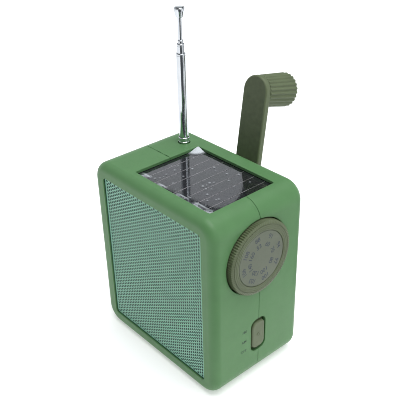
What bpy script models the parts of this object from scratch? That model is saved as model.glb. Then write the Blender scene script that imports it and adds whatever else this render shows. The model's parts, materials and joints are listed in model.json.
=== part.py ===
"""Hand-cranked emergency radio with a solar panel, as an assembly of separate pieces.

+Z is up, the speaker grille faces -Y, the tuning dial faces +X and the crank is on the +Y side.
The origin is the centre of the case's flat underside. Lengths are in metres.
"""
import math

import bmesh
import bpy
from mathutils import Euler, Vector

mm = 0.001

# ---------------------------------------------------------------- driving dimensions
CASE_W = 99.0 * mm            # X
CASE_D = 64.3 * mm            # Y
CASE_H = 110.0 * mm           # Z
CORNER_R = 10.7 * mm          # long corners, seen from the front
RIM_R = 5.0 * mm              # rounded edge round the front and back faces
WALL = 2.5 * mm
GAP = 0.3 * mm                # clearance between neighbouring pieces
SEAM = GAP / 2                # half of the parting gap between the case halves

GRILLE_W = 80.8 * mm          # opening in the front face
GRILLE_H = 93.2 * mm
GRILLE_LIP = 0.8 * mm         # thickness of the lip in front of the grille
GRILLE_T = 0.7 * mm

BOSS_X = 41.0 * mm            # the case screws and their posts
BOSS_Z = (9.0 * mm, 101.0 * mm)
BOSS_R = 3.6 * mm
BOSS_RIB_T = 1.8 * mm
SCREW_HOLE_R = 1.6 * mm
WELL_R = 2.9 * mm             # recess for a screw head
WELL_FLOOR = 12.0 * mm        # the screw heads' seat, as a Y position

SPEAKER_Z = 52.0 * mm
SPEAKER_R = 37.0 * mm         # flange
SPEAKER_SCREW_R = 35.0 * mm   # circle of the speaker's four screws
SPEAKER_HOLE_R = 1.4 * mm
BAFFLE_W = 88.0 * mm
BAFFLE_H = 98.0 * mm
BAFFLE_T = 1.5 * mm
BAFFLE_OPENING_R = 31.0 * mm
CLOTH_T = 0.4 * mm

SOLAR_X = (-20.4 * mm, 38.6 * mm)     # window in the top
SOLAR_Y = (-24.1 * mm, 20.5 * mm)
SOLAR_OVERLAP = 1.5 * mm              # how far the panel reaches under the window's edge
SOLAR_TOP = CASE_H - 1.9 * mm         # panel surface
SOLAR_T = 1.8 * mm

DIAL_Y = -2.0 * mm
DIAL_Z = 80.3 * mm
DIAL_R = 21.0 * mm
DIAL_HOLE_R = 21.5 * mm
DIAL_PROUD = 3.1 * mm
DIAL_RIM_R = 19.2 * mm        # outer edge of the flat ring round the insert
DIAL_FACE_R = 15.9 * mm

SWITCH_Y = -0.2 * mm
SWITCH_Z = 28.4 * mm
SWITCH_SLOT = (11.0 * mm, 21.4 * mm)
SWITCH_BUTTON = (9.2 * mm, 17.6 * mm)

VOLUME_X = -40.5 * mm
VOLUME_Z = 80.0 * mm
VOLUME_R = 11.0 * mm
VOLUME_SLOT = (4.4 * mm, 18.6 * mm)

BOARD_Y = -6.0 * mm           # front face of the circuit board
BOARD_T = 1.6 * mm
CELL_R = 7.1 * mm             # battery cells
CELL_L = 50.0 * mm
CELL_PITCH = 14.5 * mm

ANTENNA_X = -30.6 * mm
ANTENNA_Y = 18.65 * mm
ANTENNA_HOLE_R = 3.5 * mm
COLLAR_TOP = 113.4 * mm
# (name, outer radius, inner radius, lower end, upper end)
ANTENNA_TUBES = (
    ("antenna_tube_1", 2.60 * mm, 2.30 * mm, 105.4 * mm, 162.7 * mm),
    ("antenna_tube_2", 2.10 * mm, 1.75 * mm, 111.9 * mm, 167.9 * mm),
    ("antenna_tube_3", 1.55 * mm, 1.30 * mm, 114.8 * mm, 169.8 * mm),
)

CRANK_Z = 80.0 * mm
CRANK_LEAN = math.radians(-4.0)       # angle of the crank about its shaft
CRANK_TILT = math.radians(12.8)       # angle of the unfolded arm off the back of the case
PIN_STANDOFF = 4.8 * mm               # hinge pin behind the back face
PIN_R = 1.5 * mm
PIN_BORE_R = 1.8 * mm
HUB_R = 15.0 * mm
HUB_EAR_R = 3.2 * mm
HUB_EARS = ((-13.0 * mm, -9.6 * mm), (9.6 * mm, 13.0 * mm))     # their extent along the pin
CRANK_RADIUS = 61.0 * mm              # hinge pin to knob axis
ARM_W = 18.0 * mm
ARM_T = 3.6 * mm
KNOB_L = 21.7 * mm
KNOB_R = (9.0 * mm, 9.8 * mm)         # at the arm, at the free end
KNOB_FLUTES = 24
KNOB_PIN_R = 2.2 * mm
KNOB_PIN_END = 19.5 * mm

GEAR_ANGLE = math.radians(-45.0)      # direction from each gear to the one that it drives
DRIVE_TEETH, DRIVE_MODULE = 48, 0.7 * mm
WHEEL_TEETH, WHEEL_MODULE = 42, 0.6 * mm
PINION_TEETH = 12
PLATE_Y = (16.5 * mm, 18.0 * mm)      # plate that carries the gear train
PRESSURE_ANGLE = math.radians(20.0)

BACK = CASE_D / 2
FRONT = -CASE_D / 2
MID_Z = CASE_H / 2
ALONG_X = Euler((0, math.radians(90), 0))      # turns a local +Z into +X
ALONG_Y = Euler((math.radians(-90), 0, 0))     # turns a local +Z into +Y
UPRIGHT = Euler((0, 0, 0))

BOSSES = tuple((side * BOSS_X, z) for z in BOSS_Z for side in (-1, 1))
SPEAKER_SCREW_STEP = SPEAKER_SCREW_R * math.sqrt(0.5)
SPEAKER_SCREWS = tuple((side * SPEAKER_SCREW_STEP, SPEAKER_Z + up * SPEAKER_SCREW_STEP)
                       for up in (-1, 1) for side in (-1, 1))
BOARD_POSTS = ((-39.5 * mm, 38.0 * mm), (39.5 * mm, 38.0 * mm),
               (-39.5 * mm, 92.0 * mm), (20.0 * mm, 90.5 * mm))


# ---------------------------------------------------------------- materials
def finish(name, colour, roughness, metallic=0.0):
    """A Principled material of one colour."""
    material = bpy.data.materials.new(name)
    material.use_nodes = True
    shader = material.node_tree.nodes["Principled BSDF"]
    shader.inputs["Base Color"].default_value = (*colour, 1.0)
    shader.inputs["Roughness"].default_value = roughness
    shader.inputs["Metallic"].default_value = metallic
    return material


# ---------------------------------------------------------------- outlines, as (u, v) points
def rounded_rect(width, height, radius, steps=5):
    """A rectangle with round corners about the origin, counter-clockwise."""
    points = []
    for corner, (side_u, side_v) in enumerate(((1, 1), (-1, 1), (-1, -1), (1, -1))):
        for step in range(steps + 1):
            angle = math.radians(90 * corner + 90 * step / steps)
            points.append((side_u * (width / 2 - radius) + radius * math.cos(angle),
                           side_v * (height / 2 - radius) + radius * math.sin(angle)))
    return points


def circle(radius, steps=32):
    return [(radius * math.cos(math.tau * i / steps), radius * math.sin(math.tau * i / steps))
            for i in range(steps)]


def arm_outline(width, length, foot, steps=12):
    """The crank arm: straight sides from foot below the pin up to a half-round end."""
    half = width / 2
    top = [(half * math.cos(math.pi * i / steps), length + half * math.sin(math.pi * i / steps))
           for i in range(steps + 1)]
    return top + [(-half, -foot), (half, -foot)]


def fluted(radius, flutes, depth):
    """A circle with shallow straight grooves."""
    pitch = math.tau / flutes
    points = []
    for flute in range(flutes):
        for share, drop in ((0.0, 0.0), (0.52, 0.0), (0.76, depth)):
            angle = (flute + share) * pitch
            points.append(((radius - drop) * math.cos(angle), (radius - drop) * math.sin(angle)))
    return points


def involute_gear(teeth, module, phase, backlash=0.10):
    """An involute gear with a tooth centred on the direction phase."""
    pitch_r = teeth * module / 2
    base_r = pitch_r * math.cos(PRESSURE_ANGLE)
    tip_r = pitch_r + 0.72 * module
    root_r = pitch_r - 1.0 * module

    def involute(radius):
        cosine = min(1.0, base_r / radius)
        return math.tan(math.acos(cosine)) - math.acos(cosine)

    half_tooth = (0.5 - backlash) * math.pi / teeth + involute(pitch_r)
    radii = sorted({root_r, max(root_r, base_r), tip_r})
    points = []
    for tooth in range(teeth):
        centre = phase + math.tau * tooth / teeth
        flank = [(r, half_tooth - involute(max(r, base_r))) for r in radii]
        for r, half in flank:
            points.append((r * math.cos(centre - half), r * math.sin(centre - half)))
        for r, half in reversed(flank):
            points.append((r * math.cos(centre + half), r * math.sin(centre + half)))
    return points


# ---------------------------------------------------------------- solids, added to a bmesh
def at_height(outline, height):
    return [Vector((u, v, height)) for u, v in outline]


def add_loft(bm, rings, looped=False):
    """Skins rings that have equally many points. looped joins the last ring to the first,
    for a body with a hole through it; otherwise both ends are capped."""
    loops = [[bm.verts.new(point) for point in ring] for ring in rings]
    pairs = list(zip(loops, loops[1:]))
    if looped:
        pairs.append((loops[-1], loops[0]))
    else:
        bm.faces.new(loops[0])
        bm.faces.new(loops[-1])
    for low, high in pairs:
        for i, start in enumerate(low):
            j = (i + 1) % len(low)
            bm.faces.new((start, low[j], high[j], high[i]))
    return bm


def loft(rings, looped=False):
    return add_loft(bmesh.new(), rings, looped)


def turned(profile, steps=32, looped=False):
    """A body turned about local Z from (radius, height) points."""
    return loft([at_height(circle(r, steps), z) for r, z in profile], looped)


def tube(outer_r, inner_r, low, high, steps=18):
    return turned([(outer_r, low), (outer_r, high), (inner_r, high), (inner_r, low)], steps, looped=True)


def add_block(bm, x, y, z):
    """A box between the two ends given on each axis."""
    corners = ((x[0], y[0]), (x[1], y[0]), (x[1], y[1]), (x[0], y[1]))
    return add_loft(bm, [[Vector((u, v, height)) for u, v in corners] for height in z])


def block(x, y, z):
    return add_block(bmesh.new(), x, y, z)


def add_rod_y(bm, x, z, radius, y, steps=16):
    """A cylinder along Y."""
    return add_loft(bm, [[Vector((x + u, end, z + v)) for u, v in circle(radius, steps)] for end in y])


def add_rod_x(bm, y, z, radius, x, steps=16):
    """A cylinder along X."""
    return add_loft(bm, [[Vector((end, y + u, z + v)) for u, v in circle(radius, steps)] for end in x])


# ---------------------------------------------------------------- objects
def piece(name, bm, material, location=(0, 0, 0), rotation=UPRIGHT, parent=None):
    """Makes an object from a bmesh, with its faces pointing out."""
    bmesh.ops.recalc_face_normals(bm, faces=bm.faces)
    mesh = bpy.data.meshes.new(name)
    bm.to_mesh(mesh)
    bm.free()
    mesh.shade_smooth()
    mesh.set_sharp_from_angle(angle=math.radians(35))
    mesh.materials.append(material)
    obj = bpy.data.objects.new(name, mesh)
    bpy.context.collection.objects.link(obj)
    obj.location = location
    obj.rotation_euler = rotation
    obj.parent = parent
    return obj


def apply_tool(target, name, bm, operation="DIFFERENCE"):
    """Cuts a hidden tool out of the target, or joins it on with UNION. The tool takes the target's place."""
    tool = piece(name, bm, target.data.materials[0])
    tool.parent = target.parent
    tool.location = target.location
    tool.rotation_euler = target.rotation_euler
    tool.hide_render = True
    tool.display_type = "WIRE"
    modifier = target.modifiers.new(name, "BOOLEAN")
    modifier.operation = operation
    modifier.object = tool


def pivot(name, location, rotation=UPRIGHT, parent=None):
    """An empty on a joint's axis, which carries the pieces that move with that joint."""
    empty = bpy.data.objects.new(name, None)
    bpy.context.collection.objects.link(empty)
    empty.location = location
    empty.rotation_euler = rotation
    empty.parent = parent
    return empty


# ---------------------------------------------------------------- case
def case_ring(inset, y):
    """The case's outline in a plane across Y, drawn in by inset."""
    outline = rounded_rect(CASE_W - 2 * inset, CASE_H - 2 * inset, CORNER_R - inset)
    return [Vector((u, y, MID_Z + v)) for u, v in outline]


def window_ring(width, height, radius, y):
    return [Vector((u, y, MID_Z + v)) for u, v in rounded_rect(width, height, radius)]


def rim_rings(side, radius, steps):
    """The rounded edge between the long walls and the front (side -1) or back (side 1) face."""
    rings = []
    for step in range(steps + 1):
        angle = math.radians(90 * step / steps)
        rings.append(case_ring(RIM_R - radius * math.cos(angle),
                               side * (CASE_D / 2 - RIM_R + radius * math.sin(angle))))
    return rings


def side_openings():
    """Cutter for the dial hole, the switch slot and the volume wheel's slot, which the seam crosses."""
    bm = bmesh.new()
    wall = (CASE_W / 2 - WALL - 0.5 * mm, CASE_W / 2 + 2 * mm)
    add_rod_x(bm, DIAL_Y, DIAL_Z, DIAL_HOLE_R, wall, 48)
    slot = rounded_rect(SWITCH_SLOT[0], SWITCH_SLOT[1], 4.0 * mm)
    add_loft(bm, [[Vector((x, SWITCH_Y + u, SWITCH_Z + v)) for u, v in slot] for x in wall])
    add_block(bm, (-wall[1], -wall[0]), (-VOLUME_SLOT[0] / 2, VOLUME_SLOT[0] / 2),
              (VOLUME_Z - VOLUME_SLOT[1] / 2, VOLUME_Z + VOLUME_SLOT[1] / 2))
    return bm


def solar_window():
    """Cutter for the window in the top."""
    centre_x, centre_y = sum(SOLAR_X) / 2, sum(SOLAR_Y) / 2
    outline = rounded_rect(SOLAR_X[1] - SOLAR_X[0], SOLAR_Y[1] - SOLAR_Y[0], 1.2 * mm, 3)
    return loft([[Vector((centre_x + u, centre_y + v, z)) for u, v in outline]
                 for z in (CASE_H - 4 * mm, CASE_H + 2 * mm)])


def solar_rebate():
    """Cutter that thins the top from inside, where the panel lies."""
    reach = SOLAR_OVERLAP + GAP
    return block((SOLAR_X[0] - reach, SOLAR_X[1] + reach), (SOLAR_Y[0] - reach, SOLAR_Y[1] + reach),
                 (CASE_H - 4 * mm, SOLAR_TOP + GAP))


def join_screw_bosses(case, y, rib_y):
    """Posts for the case screws, each tied to the top or bottom wall by a rib."""
    posts, ribs = bmesh.new(), bmesh.new()
    bite = 0.7 * mm
    for x, z in BOSSES:
        add_rod_y(posts, x, z, BOSS_R, y)
        wall_end = WALL - bite if z < MID_Z else CASE_H - WALL + bite
        add_block(ribs, (x - BOSS_RIB_T / 2, x + BOSS_RIB_T / 2), rib_y, sorted((z, wall_end)))
    apply_tool(case, case.name + "_bosses", posts, "UNION")
    apply_tool(case, case.name + "_ribs", ribs, "UNION")


def front_case(material):
    lip = FRONT + GRILLE_LIP
    inside = FRONT + WALL
    rings = [case_ring(0, -SEAM)] + rim_rings(-1, RIM_R, 4)
    rings += [window_ring(GRILLE_W, GRILLE_H, 2.0 * mm, FRONT),
              window_ring(GRILLE_W, GRILLE_H, 2.0 * mm, lip),
              window_ring(GRILLE_W + 4 * mm, GRILLE_H + 4 * mm, 2.5 * mm, lip),
              window_ring(GRILLE_W + 4 * mm, GRILLE_H + 4 * mm, 2.5 * mm, inside)]
    rings += rim_rings(-1, RIM_R - WALL, 2)[::-1]
    rings += [case_ring(WALL, -SEAM)]
    case = piece("front_case", loft(rings, looped=True), material)
    join_screw_bosses(case, (-24 * mm, -0.4 * mm), (-22 * mm, -1.4 * mm))
    pilot = bmesh.new()
    for x, z in BOSSES:
        add_rod_y(pilot, x, z, SCREW_HOLE_R, (-12 * mm, 2 * mm), 12)
    apply_tool(case, "front_screw_holes", pilot)
    cut_shared_openings(case)


def rear_case(material):
    rings = rim_rings(1, RIM_R, 4)[::-1] + [case_ring(0, SEAM), case_ring(WALL, SEAM)]
    rings += rim_rings(1, RIM_R - WALL, 2)
    case = piece("rear_case", loft(rings), material)
    join_screw_bosses(case, (0.4 * mm, BACK - 1 * mm), (1.4 * mm, BACK - 3.6 * mm))
    holes = bmesh.new()
    for x, z in BOSSES:
        add_rod_y(holes, x, z, SCREW_HOLE_R, (-2 * mm, WELL_FLOOR + 1 * mm), 12)
    apply_tool(case, "rear_screw_holes", holes)
    wells = bmesh.new()
    for x, z in BOSSES:
        add_rod_y(wells, x, z, WELL_R, (WELL_FLOOR, BACK + 2 * mm))
    add_rod_y(wells, 0, CRANK_Z, 5.0 * mm, (BACK - WALL - 1 * mm, BACK + 2 * mm), 24)
    apply_tool(case, "rear_wells", wells)
    hole = bmesh.new()
    add_loft(hole, [[Vector((ANTENNA_X + u, ANTENNA_Y + v, z)) for u, v in circle(ANTENNA_HOLE_R, 24)]
                    for z in (CASE_H - 5 * mm, CASE_H + 2 * mm)])
    apply_tool(case, "antenna_hole", hole)
    cut_shared_openings(case)


def cut_shared_openings(case):
    """The openings that lie across the seam, half in each half of the case."""
    apply_tool(case, case.name + "_sides", side_openings())
    apply_tool(case, case.name + "_rebate", solar_rebate())
    apply_tool(case, case.name + "_window", solar_window())


def screw(name, x, z, head_y, length, head_r, shank_r, material):
    """A pan-head screw along -Y whose head starts at head_y."""
    profile = [(shank_r * 0.5, -length), (shank_r, -length + 1.5 * mm), (shank_r, 0), (head_r, 0),
               (head_r, 0.9 * mm), (head_r * 0.7, 1.5 * mm)]
    piece(name, turned(profile, 10), material, (x, head_y, z), ALONG_Y)


# ---------------------------------------------------------------- speaker
def speaker(plastic, steel, ferrite, paper, cloth, grille):
    sheet_y = FRONT + GRILLE_LIP + GAP
    cloth_y = sheet_y + GRILLE_T + GAP
    baffle_y = FRONT + WALL + GAP
    frame_y = baffle_y + BAFFLE_T + GAP
    width, height = GRILLE_W + 3.4 * mm, GRILLE_H + 3.4 * mm

    piece("speaker_grille", loft([window_ring(width, height, 2.2 * mm, y)
                                  for y in (sheet_y, sheet_y + GRILLE_T)]), grille)
    piece("grille_cloth", loft([window_ring(width, height, 2.2 * mm, y)
                                for y in (cloth_y, cloth_y + CLOTH_T)]), cloth)

    baffle = piece("speaker_baffle", loft([window_ring(BAFFLE_W, BAFFLE_H, 5 * mm, y)
                                           for y in (baffle_y, baffle_y + BAFFLE_T)]), plastic)
    posts = bmesh.new()
    for x, z in BOARD_POSTS:
        add_rod_y(posts, x, z, 2.5 * mm, (baffle_y + 0.5 * mm, BOARD_Y - GAP), 12)
    apply_tool(baffle, "board_posts", posts, "UNION")
    holes = bmesh.new()
    add_rod_y(holes, 0, SPEAKER_Z, BAFFLE_OPENING_R, (FRONT, frame_y), 28)
    for x, z in SPEAKER_SCREWS:
        add_rod_y(holes, x, z, SPEAKER_HOLE_R, (FRONT, frame_y), 10)
    apply_tool(baffle, "baffle_holes", holes)

    seat = (0, frame_y, SPEAKER_Z)
    flange_t = 1.5 * mm
    basket = [(SPEAKER_R, 0), (SPEAKER_R, flange_t), (33 * mm, flange_t), (18.5 * mm, 11.3 * mm),
              (18.5 * mm, 12.3 * mm), (10.5 * mm, 12.3 * mm), (10.5 * mm, 11.1 * mm),
              (17.2 * mm, 11.1 * mm), (31.5 * mm, 1.2 * mm), (31.5 * mm, 0)]
    frame = piece("speaker_frame", turned(basket, 24, looped=True), steel, seat, ALONG_Y)
    holes = bmesh.new()
    for x, z in SPEAKER_SCREWS:
        add_loft(holes, [[Vector((x + u, SPEAKER_Z - z + v, height))
                          for u, v in circle(SPEAKER_HOLE_R, 10)]
                         for height in (-2 * mm, 4 * mm)])
    apply_tool(frame, "frame_holes", holes)
    cone = [(30.7 * mm, 0), (29.6 * mm, -0.9 * mm), (28.2 * mm, -1.0 * mm), (27.0 * mm, -0.2 * mm),
            (9.4 * mm, 9.0 * mm), (9.4 * mm, 9.9 * mm), (27.2 * mm, 0.7 * mm), (28.3 * mm, -0.3 * mm),
            (29.5 * mm, -0.2 * mm), (30.7 * mm, 0.6 * mm)]
    piece("speaker_cone", turned(cone, 28, looped=True), paper, seat, ALONG_Y)
    cap = [(9.0 * mm, 9.6 * mm), (9.0 * mm, 8.8 * mm), (8.3 * mm, 7.6 * mm), (6.5 * mm, 6.5 * mm),
           (3.5 * mm, 5.8 * mm), (0.8 * mm, 5.6 * mm)]
    piece("speaker_dust_cap", turned(cap, 16), paper, seat, ALONG_Y)
    magnet = [(16.3 * mm, 12.6 * mm), (17.0 * mm, 13.3 * mm),
              (17.0 * mm, 19.5 * mm), (16.3 * mm, 20.1 * mm)]
    piece("speaker_magnet", turned(magnet, 24), ferrite, seat, ALONG_Y)
    for number, (x, z) in enumerate(SPEAKER_SCREWS, 1):
        screw("speaker_screw_%d" % number, x, z, frame_y + flange_t + GAP,
              3.0 * mm, 1.9 * mm, 1.1 * mm, steel)


# ---------------------------------------------------------------- solar panel
def solar_panel(cell, film, plastic):
    reach = SOLAR_OVERLAP
    x = (SOLAR_X[0] - reach, SOLAR_X[1] + reach)
    y = (SOLAR_Y[0] - reach, SOLAR_Y[1] + reach)
    under = SOLAR_TOP - SOLAR_T
    piece("solar_panel", block(x, y, (under, SOLAR_TOP)), cell)
    edge = 0.6 * mm
    piece("solar_film", block((SOLAR_X[0] + edge, SOLAR_X[1] - edge),
                              (SOLAR_Y[0] + edge, SOLAR_Y[1] - edge),
                              (SOLAR_TOP + GAP, SOLAR_TOP + 2 * GAP)), film)
    inset, tray_t = 1.0 * mm, 1.4 * mm
    piece("solar_tray", block((x[0] + inset, x[1] - inset), (y[0] + inset, y[1] - inset),
                              (under - GAP - tray_t, under - GAP)), plastic)


# ---------------------------------------------------------------- tuning
def tuning(knob_plastic, insert, steel, plastic):
    base_x = CASE_W / 2 - WALL
    front = WALL + DIAL_PROUD
    axis = pivot("tuning_dial_axis", (base_x, DIAL_Y, DIAL_Z), ALONG_X)
    profile = [(DIAL_R, 0.2 * mm), (DIAL_R, front - 0.7 * mm), (DIAL_RIM_R, front),
               (DIAL_FACE_R, front), (DIAL_FACE_R, front - 1.2 * mm)]
    dial = piece("tuning_dial", turned(profile, 48), knob_plastic, parent=axis)
    shaft_r, shaft_end = 3.0 * mm, 3.3 * mm
    apply_tool(dial, "dial_bore", turned([(shaft_r + GAP, -1 * mm), (shaft_r + GAP, shaft_end + GAP)], 20))
    piece("dial_insert", turned([(DIAL_FACE_R - GAP, front - 0.9 * mm),
                                 (DIAL_FACE_R - GAP, front - 0.2 * mm)], 36), insert, parent=axis)
    piece("tuning_shaft", turned([(shaft_r, -6.7 * mm), (shaft_r, shaft_end)], 20), steel, parent=axis)

    piece("dial_plate", tube(15.5 * mm, 3.4 * mm, -2.0 * mm, -0.4 * mm, 28), plastic,
          (base_x, DIAL_Y, DIAL_Z), ALONG_X)
    reach = 10 * mm
    piece("tuning_capacitor", block((base_x - 21 * mm, base_x - 7 * mm), (DIAL_Y - reach, DIAL_Y + reach),
                                    (DIAL_Z - reach, DIAL_Z + reach)), plastic)


# ---------------------------------------------------------------- band switch
def band_switch(knob_plastic, steel, plastic):
    inner = CASE_W / 2 - WALL
    face = CASE_W / 2 + 0.3 * mm
    slider = pivot("switch_axis", (inner, SWITCH_Y, SWITCH_Z))
    flange = rounded_rect(14.0 * mm, 26.0 * mm, 1.5 * mm)
    button = rounded_rect(SWITCH_BUTTON[0], SWITCH_BUTTON[1], 3.4 * mm)
    crown = rounded_rect(SWITCH_BUTTON[0] - 0.8 * mm, SWITCH_BUTTON[1] - 0.8 * mm, 3.0 * mm)
    rings = [(flange, -1.8 * mm), (flange, -0.3 * mm), (button, -0.3 * mm),
             (button, face - inner - 0.4 * mm), (crown, face - inner)]
    piece("switch_slider", loft([[Vector((x, u, v)) for u, v in outline] for outline, x in rings]),
          knob_plastic, parent=slider)
    piece("switch_lever", block((-3.7 * mm, -2.1 * mm), (-1.5 * mm, 1.5 * mm), (-2 * mm, 2 * mm)),
          steel, parent=slider)
    piece("slide_switch", block((inner - 14 * mm, inner - 4 * mm),
                                (SWITCH_Y - 3.8 * mm, SWITCH_Y + 3.8 * mm),
                                (SWITCH_Z - 9 * mm, SWITCH_Z + 9 * mm)), plastic)


# ---------------------------------------------------------------- volume control
def volume_control(knob_plastic, plastic):
    axis = pivot("volume_wheel_axis", (VOLUME_X, 0, VOLUME_Z), ALONG_Y)
    profile = [(VOLUME_R - 0.4 * mm, -1.8 * mm), (VOLUME_R, -1.4 * mm), (VOLUME_R, 1.4 * mm),
               (VOLUME_R - 0.4 * mm, 1.8 * mm)]
    piece("volume_wheel", turned(profile, 28), knob_plastic, parent=axis)
    piece("volume_pot", turned([(6.0 * mm, -4.1 * mm), (6.0 * mm, -2.1 * mm)], 24), plastic,
          (VOLUME_X, 0, VOLUME_Z), ALONG_Y)


# ---------------------------------------------------------------- electronics and battery
def electronics(board, ferrite, copper, cell, plastic):
    outline = ((-43.5, 34), (43.5, 34), (43.5, 66), (24, 66),
               (24, 102), (-36, 102), (-36, 95.5), (-43.5, 95.5))
    piece("circuit_board", loft([[Vector((x * mm, y, z * mm)) for x, z in outline]
                                 for y in (BOARD_Y, BOARD_Y + BOARD_T)]), board)

    rod_seat = (-30 * mm, -16 * mm, 98.8 * mm)
    rod_r = 4.0 * mm
    piece("ferrite_rod", turned([(rod_r, 0), (rod_r, 60 * mm)], 20), ferrite, rod_seat, ALONG_X)
    piece("ferrite_coil", tube(5.3 * mm, rod_r + GAP, 20 * mm, 40 * mm, 20), copper, rod_seat, ALONG_X)

    first, low = 4.5 * mm, 11.6 * mm
    centres = ((first, low), (first + CELL_PITCH, low), (first + CELL_PITCH / 2, low + 12.7 * mm))
    shoulder = CELL_L - 1.2 * mm
    button_r = 2.6 * mm
    profile = [(CELL_R - 0.5 * mm, 0), (CELL_R, 0.5 * mm), (CELL_R, shoulder - 0.6 * mm),
               (CELL_R - 0.6 * mm, shoulder), (button_r, shoulder), (button_r, CELL_L)]
    for number, (y, z) in enumerate(centres, 1):
        piece("battery_cell_%d" % number, turned(profile, 16), cell, (-CELL_L / 2, y, z), ALONG_X)
    tray = ((-4.2, 2.8), (27.7, 2.8), (27.7, 14), (26.5, 14),
            (26.5, 4.0), (-3.0, 4.0), (-3.0, 14), (-4.2, 14))
    piece("battery_tray", loft([[Vector((x, y * mm, z * mm)) for y, z in tray]
                                for x in (-28 * mm, 28 * mm)]), plastic)


# ---------------------------------------------------------------- rod antenna
def antenna(chrome, steel):
    seat = (ANTENNA_X, ANTENNA_Y, 0)
    collar = [(2.8 * mm, 105.9 * mm), (5.0 * mm, 105.9 * mm), (5.0 * mm, 107.2 * mm),
              (3.15 * mm, 107.2 * mm), (3.15 * mm, COLLAR_TOP - 0.3 * mm), (2.95 * mm, COLLAR_TOP),
              (2.8 * mm, COLLAR_TOP)]
    piece("antenna_collar", turned(collar, 18, looped=True), chrome, seat)
    piece("antenna_sleeve", tube(3.2 * mm, 2.8 * mm, 54.3 * mm, 105.6 * mm), steel, seat)

    parent = None
    for name, outer_r, inner_r, low, high in ANTENNA_TUBES:
        axis = pivot(name + "_axis", seat if parent is None else (0, 0, 0), parent=parent)
        piece(name, tube(outer_r, inner_r, low, high), chrome, parent=axis)
        parent = axis
    axis = pivot("antenna_rod_axis", (0, 0, 0), parent=parent)
    piece("antenna_rod", turned([(1.15 * mm, 128 * mm), (1.15 * mm, 185 * mm)], 16), chrome, parent=axis)
    tip = [(2.2 * mm, 187.5 * mm), (2.9 * mm, 186.9 * mm), (2.9 * mm, 185.6 * mm),
           (2.0 * mm, 182.0 * mm), (1.4 * mm, 182.0 * mm), (1.4 * mm, 185.3 * mm)]
    piece("antenna_tip", turned(tip, 18), chrome, parent=axis)


# ---------------------------------------------------------------- crank
def crank(olive, steel, brass, gear_plastic):
    hub_axis = pivot("crank_axis", (0, 0, CRANK_Z), Euler((0, CRANK_LEAN, 0)))
    pin_y = BACK + PIN_STANDOFF
    fold_axis = pivot("crank_fold_axis", (0, pin_y, 0), Euler((-CRANK_TILT, 0, 0)), hub_axis)
    knob_axis = pivot("crank_knob_axis", (0, 0, CRANK_RADIUS), parent=fold_axis)

    bush = [(2.8 * mm, 28.1 * mm), (7.0 * mm, 28.1 * mm), (7.0 * mm, 29.3 * mm),
            (4.7 * mm, 29.3 * mm), (4.7 * mm, 32.0 * mm), (2.8 * mm, 32.0 * mm)]
    piece("crank_bush", turned(bush, 16, looped=True), brass, (0, 0, CRANK_Z), ALONG_Y)
    piece("crank_shaft", turned([(2.5 * mm, 15 * mm), (2.5 * mm, 33.8 * mm)], 20), steel,
          rotation=ALONG_Y, parent=hub_axis)
    gear = involute_gear(DRIVE_TEETH, DRIVE_MODULE, GEAR_ANGLE + CRANK_LEAN)
    add_gear("drive_gear", gear, (24.2 * mm, 27.0 * mm), 2.8 * mm, gear_plastic, hub_axis)

    disc = add_rod_y(bmesh.new(), 0, 0, HUB_R, (BACK + GAP, BACK + 1.95 * mm), 32)
    hub = piece("crank_hub", disc, olive, parent=hub_axis)
    ears = bmesh.new()
    steps = 8
    arc = [(pin_y + HUB_EAR_R * math.sin(math.pi * i / steps), HUB_EAR_R * math.cos(math.pi * i / steps))
           for i in range(steps + 1)]
    root_y = BACK + 0.9 * mm
    profile = [(root_y, HUB_EAR_R)] + arc + [(root_y, -HUB_EAR_R)]
    for x in HUB_EARS:
        add_loft(ears, [[Vector((end, y, z)) for y, z in profile] for end in x])
    apply_tool(hub, "hub_ears", ears, "UNION")
    bores = bmesh.new()
    add_rod_y(bores, 0, 0, 2.8 * mm, (BACK - 2 * mm, BACK + 4 * mm), 20)
    add_rod_x(bores, pin_y, 0, PIN_BORE_R, (-HUB_R, HUB_R), 12)
    apply_tool(hub, "hub_bores", bores)
    pin = add_rod_x(bmesh.new(), pin_y, 0, PIN_R, (HUB_EARS[0][0], HUB_EARS[1][1]), 12)
    piece("hinge_pin", pin, steel, parent=hub_axis)

    half = ARM_T / 2
    bevel = 0.8 * mm
    rings = [(bevel, -half), (0, bevel - half), (0, half - bevel), (bevel, half)]
    outlines = [(arm_outline(ARM_W - 2 * inset, CRANK_RADIUS, 1.0 * mm), n) for inset, n in rings]
    arm = piece("crank_arm", loft([[Vector((s, n, u)) for s, u in outline] for outline, n in outlines]),
                olive, parent=fold_axis)
    barrel = add_rod_x(bmesh.new(), 0, 0, 2.6 * mm, (-ARM_W / 2 + 0.2 * mm, ARM_W / 2 - 0.2 * mm), 20)
    apply_tool(arm, "arm_barrel", barrel, "UNION")
    bores = bmesh.new()
    add_rod_x(bores, 0, 0, PIN_BORE_R, (-ARM_W, ARM_W), 12)
    add_rod_y(bores, 0, CRANK_RADIUS, KNOB_PIN_R + GAP, (0, ARM_T), 16)
    apply_tool(arm, "arm_bores", bores)
    pin = add_rod_y(bmesh.new(), 0, CRANK_RADIUS, KNOB_PIN_R, (0.3 * mm, KNOB_PIN_END))
    piece("knob_pin", pin, steel, parent=fold_axis)

    near = half + 0.4 * mm
    far = near + KNOB_L
    ends = [(KNOB_R[0] - 0.4 * mm, near), (KNOB_R[0], near + 0.4 * mm), (KNOB_R[1], far - 0.8 * mm),
            (KNOB_R[1] - 0.8 * mm, far)]
    knob = piece("crank_knob", loft([at_height(fluted(r, KNOB_FLUTES, 0.6 * mm), n) for r, n in ends]),
                 olive, rotation=ALONG_Y, parent=knob_axis)
    bore_r = KNOB_PIN_R + 0.4 * mm
    apply_tool(knob, "knob_bore", turned([(bore_r, near - 1 * mm), (bore_r, KNOB_PIN_END + 0.5 * mm)], 16))


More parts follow.
